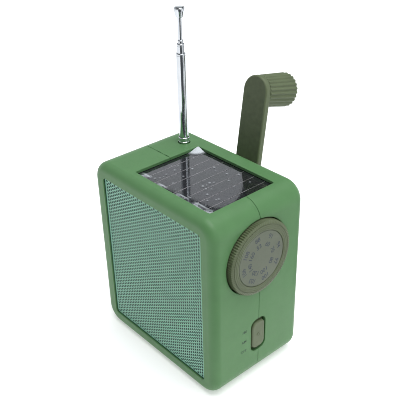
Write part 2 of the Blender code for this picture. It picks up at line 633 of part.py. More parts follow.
def add_gear(name, outline, y, bore_r, material, parent):
    """A gear whose axis is the parent's Y, with a bore through it."""
    rings = [[Vector((u, end, v)) for u, v in outline] for end in y]
    gear = piece(name, loft(rings), material, parent=parent)
    bore = bmesh.new()
    add_rod_y(bore, 0, 0, bore_r, (y[0] - 1 * mm, y[1] + 1 * mm), 16)
    apply_tool(gear, name + "_bore", bore)


def gear_train(gear_plastic, steel, plastic, motor):
    """The train from the crank to the dynamo: two steps up, 4 : 1 and 3.5 : 1."""
    direction = Vector((math.cos(GEAR_ANGLE), 0, math.sin(GEAR_ANGLE)))
    hub = Vector((0, 0, CRANK_Z))
    middle = hub + direction * (DRIVE_TEETH + PINION_TEETH) * DRIVE_MODULE / 2
    last = middle + direction * (WHEEL_TEETH + PINION_TEETH) * WHEEL_MODULE / 2
    # puts a gap of the pinion where the wheel has a tooth
    facing = GEAR_ANGLE + math.pi + math.pi / PINION_TEETH

    axis = pivot("intermediate_axis", middle)
    add_gear("intermediate_pinion", involute_gear(PINION_TEETH, DRIVE_MODULE, facing),
             (23.0 * mm, 27.6 * mm), 1.55 * mm, gear_plastic, axis)
    add_gear("intermediate_wheel", involute_gear(WHEEL_TEETH, WHEEL_MODULE, GEAR_ANGLE),
             (20.0 * mm, 22.2 * mm), 1.55 * mm, gear_plastic, axis)
    piece("intermediate_shaft", turned([(1.25 * mm, 16.6 * mm), (1.25 * mm, 29.2 * mm)], 16), steel,
          rotation=ALONG_Y, parent=axis)

    axis = pivot("dynamo_axis", last)
    add_gear("dynamo_pinion", involute_gear(PINION_TEETH, WHEEL_MODULE, facing),
             (19.8 * mm, 22.4 * mm), 1.3 * mm, steel, axis)
    piece("dynamo_shaft", turned([(1.0 * mm, 16.5 * mm), (1.0 * mm, 24.0 * mm)], 12), steel,
          rotation=ALONG_Y, parent=axis)
    can = [(11.4 * mm, 4.2 * mm), (12.0 * mm, 4.8 * mm), (12.0 * mm, 15.6 * mm), (11.4 * mm, 16.2 * mm)]
    piece("dynamo_body", turned(can, 24), motor, last, ALONG_Y)

    plate = piece("gearbox_plate", block((-12 * mm, 41 * mm), PLATE_Y, (41 * mm, 91 * mm)), plastic)
    posts = bmesh.new()
    for x, z in ((-9.5, 45), (-9.5, 58), (38, 45), (38, 87)):
        add_rod_y(posts, x * mm, z * mm, 2.2 * mm, (PLATE_Y[0] + 0.5 * mm, BACK - WALL - GAP), 12)
    apply_tool(plate, "plate_posts", posts, "UNION")
    holes = bmesh.new()
    for centre, radius in ((hub, 2.8 * mm), (middle, 1.55 * mm), (last, 3.5 * mm)):
        add_rod_y(holes, centre.x, centre.z, radius, (PLATE_Y[0] - 1 * mm, PLATE_Y[1] + 1 * mm))
    apply_tool(plate, "plate_holes", holes)


# ---------------------------------------------------------------- the radio
def build_radio():
    for obj in list(bpy.data.objects):
        bpy.data.objects.remove(obj)

    green = finish("green_case_plastic", (0.13, 0.30, 0.10), 0.45)
    olive = finish("olive_plastic", (0.13, 0.14, 0.06), 0.50)
    dial_grey = finish("dial_insert_plastic", (0.19, 0.21, 0.14), 0.45)
    grille = finish("grille_metal", (0.25, 0.42, 0.33), 0.45, 0.3)
    chrome = finish("chrome", (0.80, 0.81, 0.83), 0.12, 1.0)
    steel = finish("steel", (0.55, 0.55, 0.56), 0.35, 1.0)
    brass = finish("brass", (0.70, 0.50, 0.20), 0.35, 1.0)
    copper = finish("copper", (0.72, 0.33, 0.16), 0.30, 1.0)
    black = finish("black_plastic", (0.02, 0.02, 0.02), 0.50)
    nylon = finish("nylon", (0.75, 0.74, 0.68), 0.40)
    ferrite = finish("ferrite", (0.05, 0.05, 0.05), 0.60)
    paper = finish("cone_paper", (0.03, 0.03, 0.03), 0.85)
    cloth = finish("dust_cloth", (0.02, 0.06, 0.04), 0.95)
    silicon = finish("solar_cell", (0.02, 0.02, 0.04), 0.12)
    film = finish("clear_film", (0.80, 0.82, 0.84), 0.10)
    board = finish("circuit_board", (0.02, 0.18, 0.06), 0.40)
    wrap = finish("battery_wrap", (0.10, 0.28, 0.12), 0.35)

    front_case(green)
    rear_case(green)
    for number, (x, z) in enumerate(BOSSES, 1):
        screw("case_screw_%d" % number, x, z, WELL_FLOOR + GAP, 21 * mm, 2.6 * mm, 1.3 * mm, steel)
    speaker(black, steel, ferrite, paper, cloth, grille)
    solar_panel(silicon, film, black)
    tuning(olive, dial_grey, steel, black)
    band_switch(olive, steel, black)
    volume_control(olive, black)
    electronics(board, ferrite, copper, wrap, black)
    antenna(chrome, steel)
    crank(olive, steel, brass, nylon)
    gear_train(nylon, steel, black, steel)


build_radio()
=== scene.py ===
"""Looks of a hand-cranked emergency radio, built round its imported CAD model.

Lengths are in metres in the CAD frame: +Z up, grille on -Y, tuning dial on +X, crank on the +Y side.
"""
import json
import random
from math import cos, hypot, pi, radians, sin, sqrt, tau

import bmesh
import bpy
from mathutils import Matrix, Vector


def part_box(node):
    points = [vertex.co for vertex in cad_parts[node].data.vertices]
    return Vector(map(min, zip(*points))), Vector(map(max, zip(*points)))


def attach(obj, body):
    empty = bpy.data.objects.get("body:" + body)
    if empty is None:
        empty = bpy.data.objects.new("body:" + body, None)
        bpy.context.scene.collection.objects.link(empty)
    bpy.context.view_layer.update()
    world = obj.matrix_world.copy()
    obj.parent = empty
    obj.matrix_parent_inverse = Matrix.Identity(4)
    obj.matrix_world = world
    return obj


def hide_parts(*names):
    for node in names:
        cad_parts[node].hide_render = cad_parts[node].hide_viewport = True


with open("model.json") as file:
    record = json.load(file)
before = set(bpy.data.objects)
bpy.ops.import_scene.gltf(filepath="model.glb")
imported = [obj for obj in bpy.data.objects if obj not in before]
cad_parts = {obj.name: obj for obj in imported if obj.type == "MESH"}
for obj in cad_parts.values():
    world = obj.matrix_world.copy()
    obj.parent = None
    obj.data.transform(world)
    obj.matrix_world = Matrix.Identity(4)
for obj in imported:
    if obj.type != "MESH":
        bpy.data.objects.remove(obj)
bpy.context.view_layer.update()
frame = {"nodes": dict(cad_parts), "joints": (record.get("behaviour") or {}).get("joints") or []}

MM = 0.001
NODES = frame["nodes"]
JOINTS = {joint["name"]: joint for joint in frame["joints"]}

# ------------ sizes, from the frame
CASE_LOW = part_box("front_case")[0]
CASE_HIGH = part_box("rear_case")[1]
CASE_W = CASE_HIGH.x - CASE_LOW.x
CASE_H = CASE_HIGH.z - CASE_LOW.z
SIDE = CASE_HIGH.x
FRONT = CASE_LOW.y
BACK = CASE_HIGH.y
TOP = CASE_HIGH.z
MID_Z = (CASE_LOW.z + CASE_HIGH.z) / 2

CRANK_Z = JOINTS["crank_spin"]["pos_m"][2]
ARM_LENGTH = (Vector(JOINTS["knob_spin"]["pos_m"]) - Vector(JOINTS["arm_fold"]["pos_m"])).length

CORNER_R = 10.7 * MM  # long corners, seen from the front
RIM_R = 5.0 * MM  # rounded edge round the front and back faces
WALL = 2.5 * MM
SEAM = 0.09 * MM  # half of the visible parting line
EDGE = 0.25 * MM  # small round on moulded edges
CUT_PAST = 2 * MM  # how far a cutter stands out of the surface


def span(node):
    """A CAD node's low corner, high corner and middle."""
    low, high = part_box(node)
    return low, high, (low + high) / 2


def centre(node):
    return span(node)[2]


# ------------ outlines, as (u, v) points
def rounded_rect(width, height, radius, steps=12):
    """A rectangle with round corners about the origin, counter-clockwise."""
    points = []
    for corner, (side_u, side_v) in enumerate(((1, 1), (-1, 1), (-1, -1), (1, -1))):
        for step in range(steps + 1):
            angle = radians(90 * corner + 90 * step / steps)
            points.append((side_u * (width / 2 - radius) + radius * cos(angle),
                           side_v * (height / 2 - radius) + radius * sin(angle)))
    return points


def circle(radius, steps=64):
    return [(radius * cos(tau * i / steps), radius * sin(tau * i / steps))
            for i in range(steps)]


def grooved_circle(radius, grooves, depth, samples=4):
    """A circle with evenly spaced grooves, each a smooth dip of that depth."""
    points = []
    for i in range(grooves * samples):
        dip = depth * (0.5 - 0.5 * cos(tau * i / samples))
        angle = tau * i / (grooves * samples)
        points.append(((radius - dip) * cos(angle), (radius - dip) * sin(angle)))
    return points


def quarter(steps=5):
    """(1 - cos, 1 - sin) of a quarter turn, for a rounded edge."""
    turns = [pi / 2 * i / steps for i in range(steps + 1)]
    return [(1 - cos(a), 1 - sin(a)) for a in turns]


# ------------ solids, added to a bmesh
def add_loft(bm, rings, looped=False):
    """Skins rings that have equally many points. looped joins the last ring to the first;
    otherwise both ends are capped."""
    loops = [[bm.verts.new(point) for point in ring] for ring in rings]
    pairs = list(zip(loops, loops[1:]))
    if looped:
        pairs.append((loops[-1], loops[0]))
    else:
        bm.faces.new(loops[0])
        bm.faces.new(loops[-1])
    for low, high in pairs:
        for i, start in enumerate(low):
            j = (i + 1) % len(low)
            bm.faces.new((start, low[j], high[j], high[i]))
    return bm


def loft(rings, looped=False):
    return add_loft(bmesh.new(), rings, looped)


def on_side(y, z, sign=1):
    """place(u, v, out) round an axis along X, on the right side or with sign -1 on the left."""
    return lambda u, v, out: Vector((sign * out, y + u, z + v))


def on_back(x, z):
    """place(u, v, out) round an axis along Y."""
    return lambda u, v, out: Vector((x + u, out, z + v))


def on_top(x, y):
    """place(u, v, out) round an axis along Z."""
    return lambda u, v, out: Vector((x + u, y + v, out))


def ring(place, outline, out):
    return [place(u, v, out) for u, v in outline]


def add_block(bm, low, high):
    corners = ((low[0], low[1]), (high[0], low[1]), (high[0], high[1]), (low[0], high[1]))
    return add_loft(bm, [ring(on_top(0, 0), corners, z) for z in (low[2], high[2])])


def add_rod(bm, place, radius, ends, steps=48):
    return add_loft(bm, [ring(place, circle(radius, steps), out) for out in ends])


def add_sheet(bm, layers):
    """A closed sheet from two equal grids of vertices."""
    for rows in layers:
        for j in range(len(rows) - 1):
            for i in range(len(rows[0]) - 1):
                bm.faces.new((rows[j][i], rows[j][i + 1], rows[j + 1][i + 1], rows[j + 1][i]))
    rims = [rows[0] + [row[-1] for row in rows[1:]] + rows[-1][-2::-1] + [row[0] for row in rows[-2:0:-1]]
            for rows in layers]
    for i, start in enumerate(rims[0]):
        j = (i + 1) % len(rims[0])
        bm.faces.new((start, rims[0][j], rims[1][j], rims[1][i]))


def turned(place, profile, steps, looped=False):
    """A body turned about an axis from (radius, height) points."""
    return loft([ring(place, circle(r, steps), out) for r, out in profile], looped)


def fluted(place, profile, count, deep, samples=4):
    """The same with grooves along it, from (radius, height, share of the grooves' depth) points."""
    return loft([ring(place, grooved_circle(r, count, deep * share, samples), out)
                 for r, out, share in profile])


def inwards(radius, end, table, sign=1):
    """Profile points (radius, height, ...) from a table of mm inwards and mm back from the end, ..."""
    return [(radius - inward * MM, end - sign * back * MM, *rest) for inward, back, *rest in table]


# ------------ objects
def link(name, data):
    obj = bpy.data.objects.new(name, data)
    bpy.context.scene.collection.objects.link(obj)
    return obj


def make(name, bm, *materials):
    """An object from a bmesh, faces out."""
    bmesh.ops.recalc_face_normals(bm, faces=bm.faces)
    mesh = bpy.data.meshes.new(name)
    bm.to_mesh(mesh)
    bm.free()
    for material in materials:
        mesh.materials.append(material)
    return link(name, mesh)


def bake_modifiers(obj):
    """Puts the modifiers' result in the mesh."""
    graph = bpy.context.evaluated_depsgraph_get()
    mesh = bpy.data.meshes.new_from_object(obj.evaluated_get(graph))
    obj.modifiers.clear()
    obj.data = mesh


def combine(obj, bm, operation="DIFFERENCE"):
    """Cuts a bmesh out of the object, or joins it on with UNION."""
    tool = make("tool", bm, *obj.data.materials)
    modifier = obj.modifiers.new("combine", "BOOLEAN")
    modifier.operation = operation
    modifier.solver = "EXACT"
    modifier.object = tool
    bake_modifiers(obj)
    bpy.data.objects.remove(tool)


def smooth(obj, angle):
    """Smooth shading with sharp edges past an angle, and flat faces that stay flat."""
    obj.data.shade_smooth()
    obj.data.set_sharp_from_angle(angle=radians(angle))
    modifier = obj.modifiers.new("normals", "WEIGHTED_NORMAL")
    modifier.keep_sharp = True
    bake_modifiers(obj)


def settle(obj, body, slot, *nodes, angle=32):
    """Shades a finished piece, puts it on its body, and hides the CAD nodes it stands for."""
    smooth(obj, angle)
    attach(obj, body)
    if nodes:
        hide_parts(*nodes)
    return obj


# ------------ materials
def wire(node, inputs):
    """Sets a node's inputs, each to a value or linked from a socket."""
    for key, value in inputs.items():
        if isinstance(value, bpy.types.NodeSocket):
            node.id_data.links.new(value, node.inputs[key])
        else:
            node.inputs[key].default_value = value


def add(tree, kind, inputs, **settings):
    node = tree.nodes.new("ShaderNode" + kind)
    for key, value in settings.items():
        setattr(node, key, value)
    wire(node, inputs)
    return node


def blank(name):
    """A new material's tree, its Principled shader and object coordinates."""
    material = bpy.data.materials.new(name)
    material.use_nodes = True
    tree = material.node_tree
    return material, tree, tree.nodes["Principled BSDF"], add(tree, "TexCoord", {}).outputs["Object"]


def shade(colour, factor):
    return (colour[0] * factor, colour[1] * factor, colour[2] * factor, 1.0)


def ramp(tree, factor, low, high, start=0.3, end=0.7):
    """Blends two colours as the factor goes from start to end."""
    node = add(tree, "ValToRGB", {"Fac": factor})
    first, last = node.color_ramp.elements
    first.position, first.color = start, low
    last.position, last.color = end, high
    return node.outputs["Color"]


def spread(tree, factor, low, high, start=0.3, end=0.7):
    """Maps a factor onto a range of values."""
    return add(tree, "MapRange", {"Value": factor, "From Min": start, "From Max": end,
                                  "To Min": low, "To Max": high}).outputs["Result"]


def noise(tree, coords, size, detail=3.0):
    return add(tree, "TexNoise", {"Vector": coords, "Scale": 1 / size, "Detail": detail}).outputs["Fac"]


def bumps(tree, height, relief, deep):
    node = add(tree, "Bump", {"Height": height, "Strength": relief, "Distance": deep})
    return node.outputs["Normal"]


def math_node(tree, operation, a, b=0.0):
    return add(tree, "Math", {0: a, 1: b}, operation=operation).outputs["Value"]


def plastic(name, colour, roughness=0.45, variation=0.05, grain=0.30 * MM, relief=0.10, mottle=7 * MM):
    """Moulded plastic: slight clouding of the colour, uneven gloss and a fine grain."""
    material, tree, shader, coords = blank(name)
    cloud = noise(tree, coords, mottle)
    wire(shader, {
        "Base Color": ramp(tree, cloud, shade(colour, 1 - variation), shade(colour, 1 + variation)),
        "Roughness": spread(tree, noise(tree, coords, mottle / 4), roughness - 0.05, roughness + 0.05),
        "Normal": bumps(tree, noise(tree, coords, grain, 2.0), relief, 0.05 * MM)})
    return material


def metal(name, colour, roughness, stretch=(1.0, 1.0, 1.0), grain=0.4 * MM, relief=0.05):
    """Metal with fine working marks, drawn out along the axis whose stretch is small."""
    material, tree, shader, coords = blank(name)
    drawn = add(tree, "Mapping", {"Vector": coords, "Scale": stretch}).outputs["Vector"]
    marks = noise(tree, drawn, grain)
    wire(shader, {
        "Metallic": 1.0,
        "Base Color": ramp(tree, noise(tree, coords, 6 * MM), shade(colour, 0.94), shade(colour, 1.04)),
        "Roughness": spread(tree, marks, roughness * 0.7, roughness * 1.3),
        "Normal": bumps(tree, marks, relief, 0.02 * MM)})
    return material


def woven(name, colour, pitch):
    """Plain-weave cloth: two crossed sets of threads, in relief and in shade."""
    material, tree, shader, coords = blank(name)
    axes = add(tree, "SeparateXYZ", {"Vector": coords}).outputs
    waves = [math_node(tree, "SINE", math_node(tree, "MULTIPLY", axes[axis], tau / pitch))
             for axis in "XZ"]
    weave = math_node(tree, "MULTIPLY", *waves)
    wire(shader, {"Roughness": 0.9, "Sheen Weight": 0.3,
                  "Base Color": ramp(tree, weave, shade(colour, 0.7), shade(colour, 1.15), 0.0, 0.6),
                  "Normal": bumps(tree, weave, 0.6, 0.1 * MM)})
    return material


def cell_surface():
    """Amorphous silicon under a clear coat: near black, with a faint brown and blue cast."""
    material, tree, shader, coords = blank("solar_cell")
    cast = noise(tree, coords, 18 * MM)
    wire(shader, {"Base Color": ramp(tree, cast, (0.010, 0.013, 0.012, 1), (0.020, 0.019, 0.024, 1)),
                  "Roughness": spread(tree, noise(tree, coords, 4 * MM), 0.03, 0.06),
                  "Coat Weight": 0.9, "Coat Roughness": 0.02, "Specular Tint": (0.80, 0.90, 1.0, 1)})
    return material


def clear_film():
    """Thin protective film: clear where it lies on the cell, glossy where it is lifted (the lifted
    attribute) and milky white where it is creased, curled and blistered (a second attribute); that white is
    partly crease haze and mostly painted highlight."""
    material, tree, shader, coords = blank("clear_film")
    # this whitish shader, mixed in below, is painted highlight on the film's creases, curls and bubbles
    wire(shader, {"Base Color": (0.80, 0.85, 0.90, 1), "Roughness": 0.35})
    lifted, haze_and_highlight = (add(tree, "Attribute", {}, attribute_name=name).outputs["Fac"]
                    for name in ("lifted", "haze_and_highlight"))
    steep = math_node(tree, "POWER", add(tree, "LayerWeight", {"Blend": 0.5}).outputs["Facing"], 4.0)
    mirror = math_node(tree, "MULTIPLY", spread(tree, steep, 0.05, 0.8, 0.0, 1.0), lifted)
    smear = spread(tree, noise(tree, coords, 5 * MM), 0.02, 0.06)
    gloss = add(tree, "BsdfGlossy", {"Color": (0.88, 0.94, 1.0, 1), "Roughness": smear}).outputs[0]
    clear = add(tree, "BsdfTransparent", {"Color": (0.985, 0.985, 0.99, 1)}).outputs[0]
    sheet = add(tree, "MixShader", {0: mirror, 1: clear, 2: gloss}).outputs[0]
    both = add(tree, "MixShader", {0: haze_and_highlight, 1: sheet, 2: shader.outputs[0]}).outputs[0]
    wire(tree.nodes["Material Output"], {"Surface": both})
    return material


GREEN = plastic("case_green", (0.093, 0.218, 0.086), 0.42, 0.035, relief=0.06)
GREEN.node_tree.nodes["Principled BSDF"].inputs["Specular IOR Level"].default_value = 0.3
OLIVE = plastic("olive", (0.108, 0.139, 0.069), 0.50, 0.06, relief=0.12)
# the crank arm's broad faces: the rough spark-eroded grain is real, but the darker colour is painted shade for
# the dimmer light on those faces
OLIVE_SHADED_FACE = plastic("olive_spark_finish_painted_shade", (0.078, 0.100, 0.050), 0.62, 0.10,
                     grain=0.7 * MM, relief=0.45, mottle=2.5 * MM)
DIAL_RING = plastic("dial_olive", (0.104, 0.131, 0.067), 0.48, 0.05)
INSERT = plastic("dial_face", (0.117, 0.138, 0.094), 0.45, 0.05)
INK = plastic("printing", (0.050, 0.062, 0.078), 0.55, 0.08)
LABEL_INK = plastic("label_printing", (0.030, 0.070, 0.040), 0.55, 0.10)
SHEET = plastic("grille_paint", (0.240, 0.513, 0.378), 0.42, 0.04, grain=0.25 * MM, relief=0.05)
# dark green painted shade: used on the grille's hole walls and for the dark line round the sheet
PAINTED_SHADE_GREEN = plastic("grille_painted_shade", (0.015, 0.060, 0.042), 0.60, 0.10)
CLOTH = woven("dust_cloth", (0.004, 0.020, 0.012), pitch=0.45 * MM)
CHROME = metal("chrome", (0.62, 0.65, 0.68), 0.07, stretch=(1.0, 1.0, 0.05))
STEEL = metal("steel", (0.52, 0.52, 0.53), 0.32)
BRASS = metal("brass", (0.66, 0.47, 0.19), 0.30)
COPPER = metal("copper", (0.72, 0.33, 0.16), 0.28, stretch=(3.0, 0.3, 0.3), grain=0.25 * MM, relief=0.5)
BLACK = plastic("black_plastic", (0.020, 0.021, 0.022), 0.48, 0.15)
NYLON = plastic("nylon", (0.62, 0.60, 0.53), 0.42, 0.04)
FERRITE = plastic("ferrite", (0.045, 0.044, 0.045), 0.65, 0.25, grain=0.5 * MM, relief=0.4, mottle=2 * MM)
PAPER = plastic("cone_paper", (0.030, 0.028, 0.026), 0.88, 0.25, grain=0.25 * MM, relief=0.6, mottle=1.5 * MM)
BOARD = plastic("circuit_board", (0.015, 0.150, 0.050), 0.32, 0.20, grain=0.8 * MM, relief=0.15, mottle=3 * MM)
WRAP = plastic("battery_wrap", (0.080, 0.240, 0.100), 0.30, 0.10)
CELL = cell_surface()
CELL_LINE = metal("cell_lines", (0.62, 0.60, 0.62), 0.35, stretch=(1.0, 0.05, 1.0))
FILM = clear_film()

CARRIED_OVER = {
    STEEL: """speaker_frame antenna_sleeve tuning_shaft switch_lever crank_shaft knob_pin intermediate_shaft
              dynamo_pinion dynamo_shaft dynamo_body speaker_screw_1 speaker_screw_2 speaker_screw_3
              speaker_screw_4""",
    BRASS: "crank_bush",
    COPPER: "ferrite_coil",
    BLACK: """speaker_baffle solar_tray dial_plate tuning_capacitor slide_switch volume_pot battery_tray
              gearbox_plate""",
    NYLON: "drive_gear intermediate_pinion intermediate_wheel",
    FERRITE: "ferrite_rod speaker_magnet",
    PAPER: "speaker_cone speaker_dust_cap",
    BOARD: "circuit_board",
    WRAP: "battery_cell_1 battery_cell_2 battery_cell_3",
}


def finish_inner_nodes():
    """Gives the CAD nodes that stay in view their materials."""
    for material, names in CARRIED_OVER.items():
        for name in names.split():
            mesh = NODES[name].data
            mesh.materials.clear()
            mesh.materials.append(material)


# ------------ case
BOSSES = [(side * 41.0 * MM, z) for z in (9.0 * MM, 101.0 * MM) for side in (-1, 1)]
BOSS_R = 3.6 * MM
PILOT_R = 1.6 * MM  # the bosses' own holes
RIB_HALF = 0.9 * MM  # half of a rib's thickness
RIB_SUNK = 0.7 * MM  # how far a rib goes into the wall
WELL_R = 2.9 * MM  # wells for the screw heads, in the back
WELL_FLOOR = 12.0 * MM
WELL_EDGE = 0.4 * MM
CRANK_HOLE_R = 5.0 * MM
ANTENNA_HOLE_R = 3.5 * MM
GRILLE_LIP = 0.8 * MM
GRILLE_MARGIN = 1.7 * MM  # how far the grille reaches behind its opening
OPENING_R = 2.0 * MM  # the grille opening's corners
POCKET = 4 * MM  # how much wider the space behind the lip is
POCKET_R = 2.5 * MM
DIAL_GAP = 0.5 * MM
DIAL_HOLE_EDGE = 0.35 * MM
SWITCH_SLOT = (11.0 * MM, 21.4 * MM, 4.0 * MM)  # width, height, corner radius
WHEEL_SLOT = (4.4 * MM, 18.6 * MM, 1.0 * MM, 6)  # and steps in a corner
FILM_MARGIN = 0.6 * MM  # film's edge to the window's edge
WINDOW_R = 1.2 * MM  # the solar window's corners
PANEL_GAP = 0.3 * MM  # round the solar cell, under the window
TOP_CUT = 4 * MM  # depth of cuts from above
MARKS = (-30.6 * MM, -23.6 * MM)  # two short notches in the seam on the top
MARK_HALF_L, MARK_HALF_W, MARK_DEEP = 1.5 * MM, 0.3 * MM, 0.5 * MM
SCREW_TIP_R, SCREW_R = 0.7 * MM, 1.3 * MM
SCREW_POINT = 1.5 * MM  # also the height of the head
SCREW_DOME = ((1.0, 0.8), (0.9, 0.35), (0.6, 0.05), (0.3, 0.0))  # share of its radius, mm below its top
CROSS = (1.5 * MM, 0.28 * MM)  # half length and half width of the recess
CROSS_DEEP = 0.9 * MM


def case_ring(inset, y):
    outline = rounded_rect(CASE_W - 2 * inset, CASE_H - 2 * inset, CORNER_R - inset)
    return ring(on_back(0, MID_Z), outline, y)


def opening_size():
    """Width and height of the opening that shows the grille."""
    low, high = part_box("speaker_grille")
    return high.x - low.x - 2 * GRILLE_MARGIN, high.z - low.z - 2 * GRILLE_MARGIN


def opening_ring(width, height, radius, y):
    return ring(on_back(0, MID_Z), rounded_rect(width, height, radius), y)


def rim_rings(side, radius, steps=10):
    """The rounded edge between the long walls and the front (side -1) or back (side 1) face."""
    rings = []
    for step in range(steps + 1):
        angle = radians(90 * step / steps)
        rings.append(case_ring(RIM_R - radius * cos(angle),
                               side * (BACK - RIM_R + radius * sin(angle))))
    return rings


def seam_rings(side):
    """The small round where a half of the case meets the parting line, from the seam outwards."""
    return [case_ring(EDGE * drop, side * (SEAM + EDGE * back)) for back, drop in quarter(4)]


def round_hole(radius, steps=48):
    return lambda grow: circle(radius + grow, steps)


def rounded_hole(width, height, radius, steps=12):
    return lambda grow: rounded_rect(width + 2 * grow, height + 2 * grow, radius + grow, steps)


def cut_opening(case, outline, place, inside, surface, edge=EDGE):
    """Cuts a hole whose outer edge is rounded. outline(grow) gives its outline."""
    stations = [(0.0, inside)] + [(edge * grow, surface - edge * down) for grow, down in quarter()]
    stations.append((edge, surface + CUT_PAST))
    combine(case, loft([ring(place, outline(grow), out) for grow, out in stations]))


def cut_shared_openings(case):
    """The openings that lie across the seam."""
    inside = SIDE - WALL - 0.5 * MM
    dial = centre("tuning_dial")
    dial_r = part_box("tuning_dial")[1].z - dial.z
    cut_opening(case, round_hole(dial_r + DIAL_GAP, 120), on_side(dial.y, dial.z), inside, SIDE, DIAL_HOLE_EDGE)
    switch = centre("switch_slider")
    cut_opening(case, rounded_hole(*SWITCH_SLOT), on_side(switch.y, switch.z), inside, SIDE)
    wheel = centre("volume_wheel")
    cut_opening(case, rounded_hole(*WHEEL_SLOT), on_side(wheel.y, wheel.z, -1), inside, SIDE)
    low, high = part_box("solar_panel")
    rebate = bmesh.new()
    add_block(rebate, (low.x - PANEL_GAP, low.y - PANEL_GAP, TOP - TOP_CUT),
              (high.x + PANEL_GAP, high.y + PANEL_GAP, high.z + PANEL_GAP))
    combine(case, rebate)
    low, high, middle = span("solar_film")
    window = rounded_hole(high.x - low.x + 2 * FILM_MARGIN, high.y - low.y + 2 * FILM_MARGIN, WINDOW_R, 6)
    cut_opening(case, window, on_top(middle.x, middle.y), TOP - TOP_CUT, TOP)
    notches = bmesh.new()
    for x in MARKS:
        add_block(notches, (x - MARK_HALF_L, -MARK_HALF_W, TOP - MARK_DEEP),
                  (x + MARK_HALF_L, MARK_HALF_W, TOP + 1 * MM))
    combine(case, notches)


def join_screw_bosses(case, y, rib_y):
    posts = bmesh.new()
    ribs = bmesh.new()
    for x, z in BOSSES:
        add_rod(posts, on_back(x, z), BOSS_R, y)
        wall_end = WALL - RIB_SUNK if z < MID_Z else TOP - WALL + RIB_SUNK
        add_block(ribs, (x - RIB_HALF, rib_y[0], min(z, wall_end)), (x + RIB_HALF, rib_y[1], max(z, wall_end)))
    combine(case, posts, "UNION")
    combine(case, ribs, "UNION")


def cut_pilots(case, ends):
    holes = bmesh.new()
    for x, z in BOSSES:
        add_rod(holes, on_back(x, z), PILOT_R, ends, 24)
    combine(case, holes)


def front_case():
    width, height = opening_size()
    lip = FRONT + GRILLE_LIP
    rings = seam_rings(-1) + rim_rings(-1, RIM_R)
    rings += [opening_ring(width + 2 * EDGE * grow, height + 2 * EDGE * grow, OPENING_R + EDGE * grow,
                           FRONT + EDGE * down) for grow, down in quarter(4)][::-1]
    rings += [opening_ring(width, height, OPENING_R, lip),
              opening_ring(width + POCKET, height + POCKET, POCKET_R, lip),
              opening_ring(width + POCKET, height + POCKET, POCKET_R, FRONT + WALL)]
    rings += rim_rings(-1, RIM_R - WALL, 6)[::-1] + [case_ring(WALL, -SEAM)]
    case = make("case_front", loft(rings, looped=True), GREEN)
    join_screw_bosses(case, (-24 * MM, -0.4 * MM), (-22 * MM, -1.4 * MM))
    cut_pilots(case, (-12 * MM, 2 * MM))
    cut_shared_openings(case)
    settle(case, "housing", "green_case", "front_case")


def rear_case():
    rings = rim_rings(1, RIM_R)[::-1] + seam_rings(1)[::-1] + [case_ring(WALL, SEAM)]
    rings += rim_rings(1, RIM_R - WALL, 6)
    case = make("case_rear", loft(rings), GREEN)
    join_screw_bosses(case, (0.4 * MM, BACK - 1 * MM), (1.4 * MM, BACK - 3.6 * MM))
    cut_pilots(case, (-2 * MM, WELL_FLOOR + 1 * MM))
    for x, z in BOSSES:
        cut_opening(case, round_hole(WELL_R), on_back(x, z), WELL_FLOOR, BACK, WELL_EDGE)
    cut_opening(case, round_hole(CRANK_HOLE_R), on_back(0, CRANK_Z), BACK - WALL - 1 * MM, BACK)
    rod = centre("antenna_rod")
    cut_opening(case, round_hole(ANTENNA_HOLE_R), on_top(rod.x, rod.y), TOP - 5 * MM, TOP)
    cut_shared_openings(case)
    settle(case, "housing", "green_case", "rear_case")


def case_screws():
    """Pan heads with a cross recess, at the bottom of the wells."""
    for number in range(1, 5):
        low, high, middle = span("case_screw_%d" % number)
        head_r = middle.x - low.x
        under_head = high.y - SCREW_POINT
        profile = [(SCREW_TIP_R, low.y), (SCREW_R, low.y + SCREW_POINT), (SCREW_R, under_head),
                   (head_r, under_head)]
        profile += [(head_r * share, high.y - below * MM) for share, below in SCREW_DOME]
        screw = make("screw_%d" % number, turned(on_back(middle.x, middle.z), profile, 32), STEEL)
        for long, short in (CROSS, CROSS[::-1]):
            cross = bmesh.new()
            add_block(cross, (middle.x - long, high.y - CROSS_DEEP, middle.z - short),
                      (middle.x + long, high.y + 1 * MM, middle.z + short))
            combine(screw, cross)
        settle(screw, "housing", "steel", "case_screw_%d" % number)


# ------------ grille
HOLE_PITCH = 2.0 * MM
HOLE_R = 0.70 * MM
HOLE_SIDES = 12
SHEET_T = 0.4 * MM
SHEET_R = 2.2 * MM  # the sheet's and the cloth's corners
BAND = 0.5 * MM  # plain band past the last holes
COLUMNS = 45  # odd: every second column is shifted and one hole shorter
ROWS = 46
# the dark ring round the sheet is painted shade for the gap behind the lip
SHADOW_LINE_SPAN = (-0.4 * MM, 0.6 * MM)  # from the opening's edge, outwards
SHADOW_LINE_OUT = (0.2 * MM, 0.03 * MM)  # its front and its back, in front of the sheet
CLOTH_CELLS = 28
CLOTH_INSET = 0.08 * MM
CLOTH_SWAY = 0.06 * MM
CLOTH_WAVES = (11 * MM, 14 * MM)


def border_outline(edge, half_w, half_h):
    """The sheet's own outline as its right and left part, which meet the middle strips at +-edge."""
    corner = rounded_rect(2 * half_w, 2 * half_h, SHEET_R, 6)
    upper_right, upper_left, lower_left, lower_right = (corner[7 * i:7 * i + 7] for i in range(4))
    right = [(edge, -half_h)] + lower_right + upper_right + [(edge, half_h)]
    left = [(-edge, half_h)] + upper_left + lower_left + [(-edge, -half_h)]
    return right, left


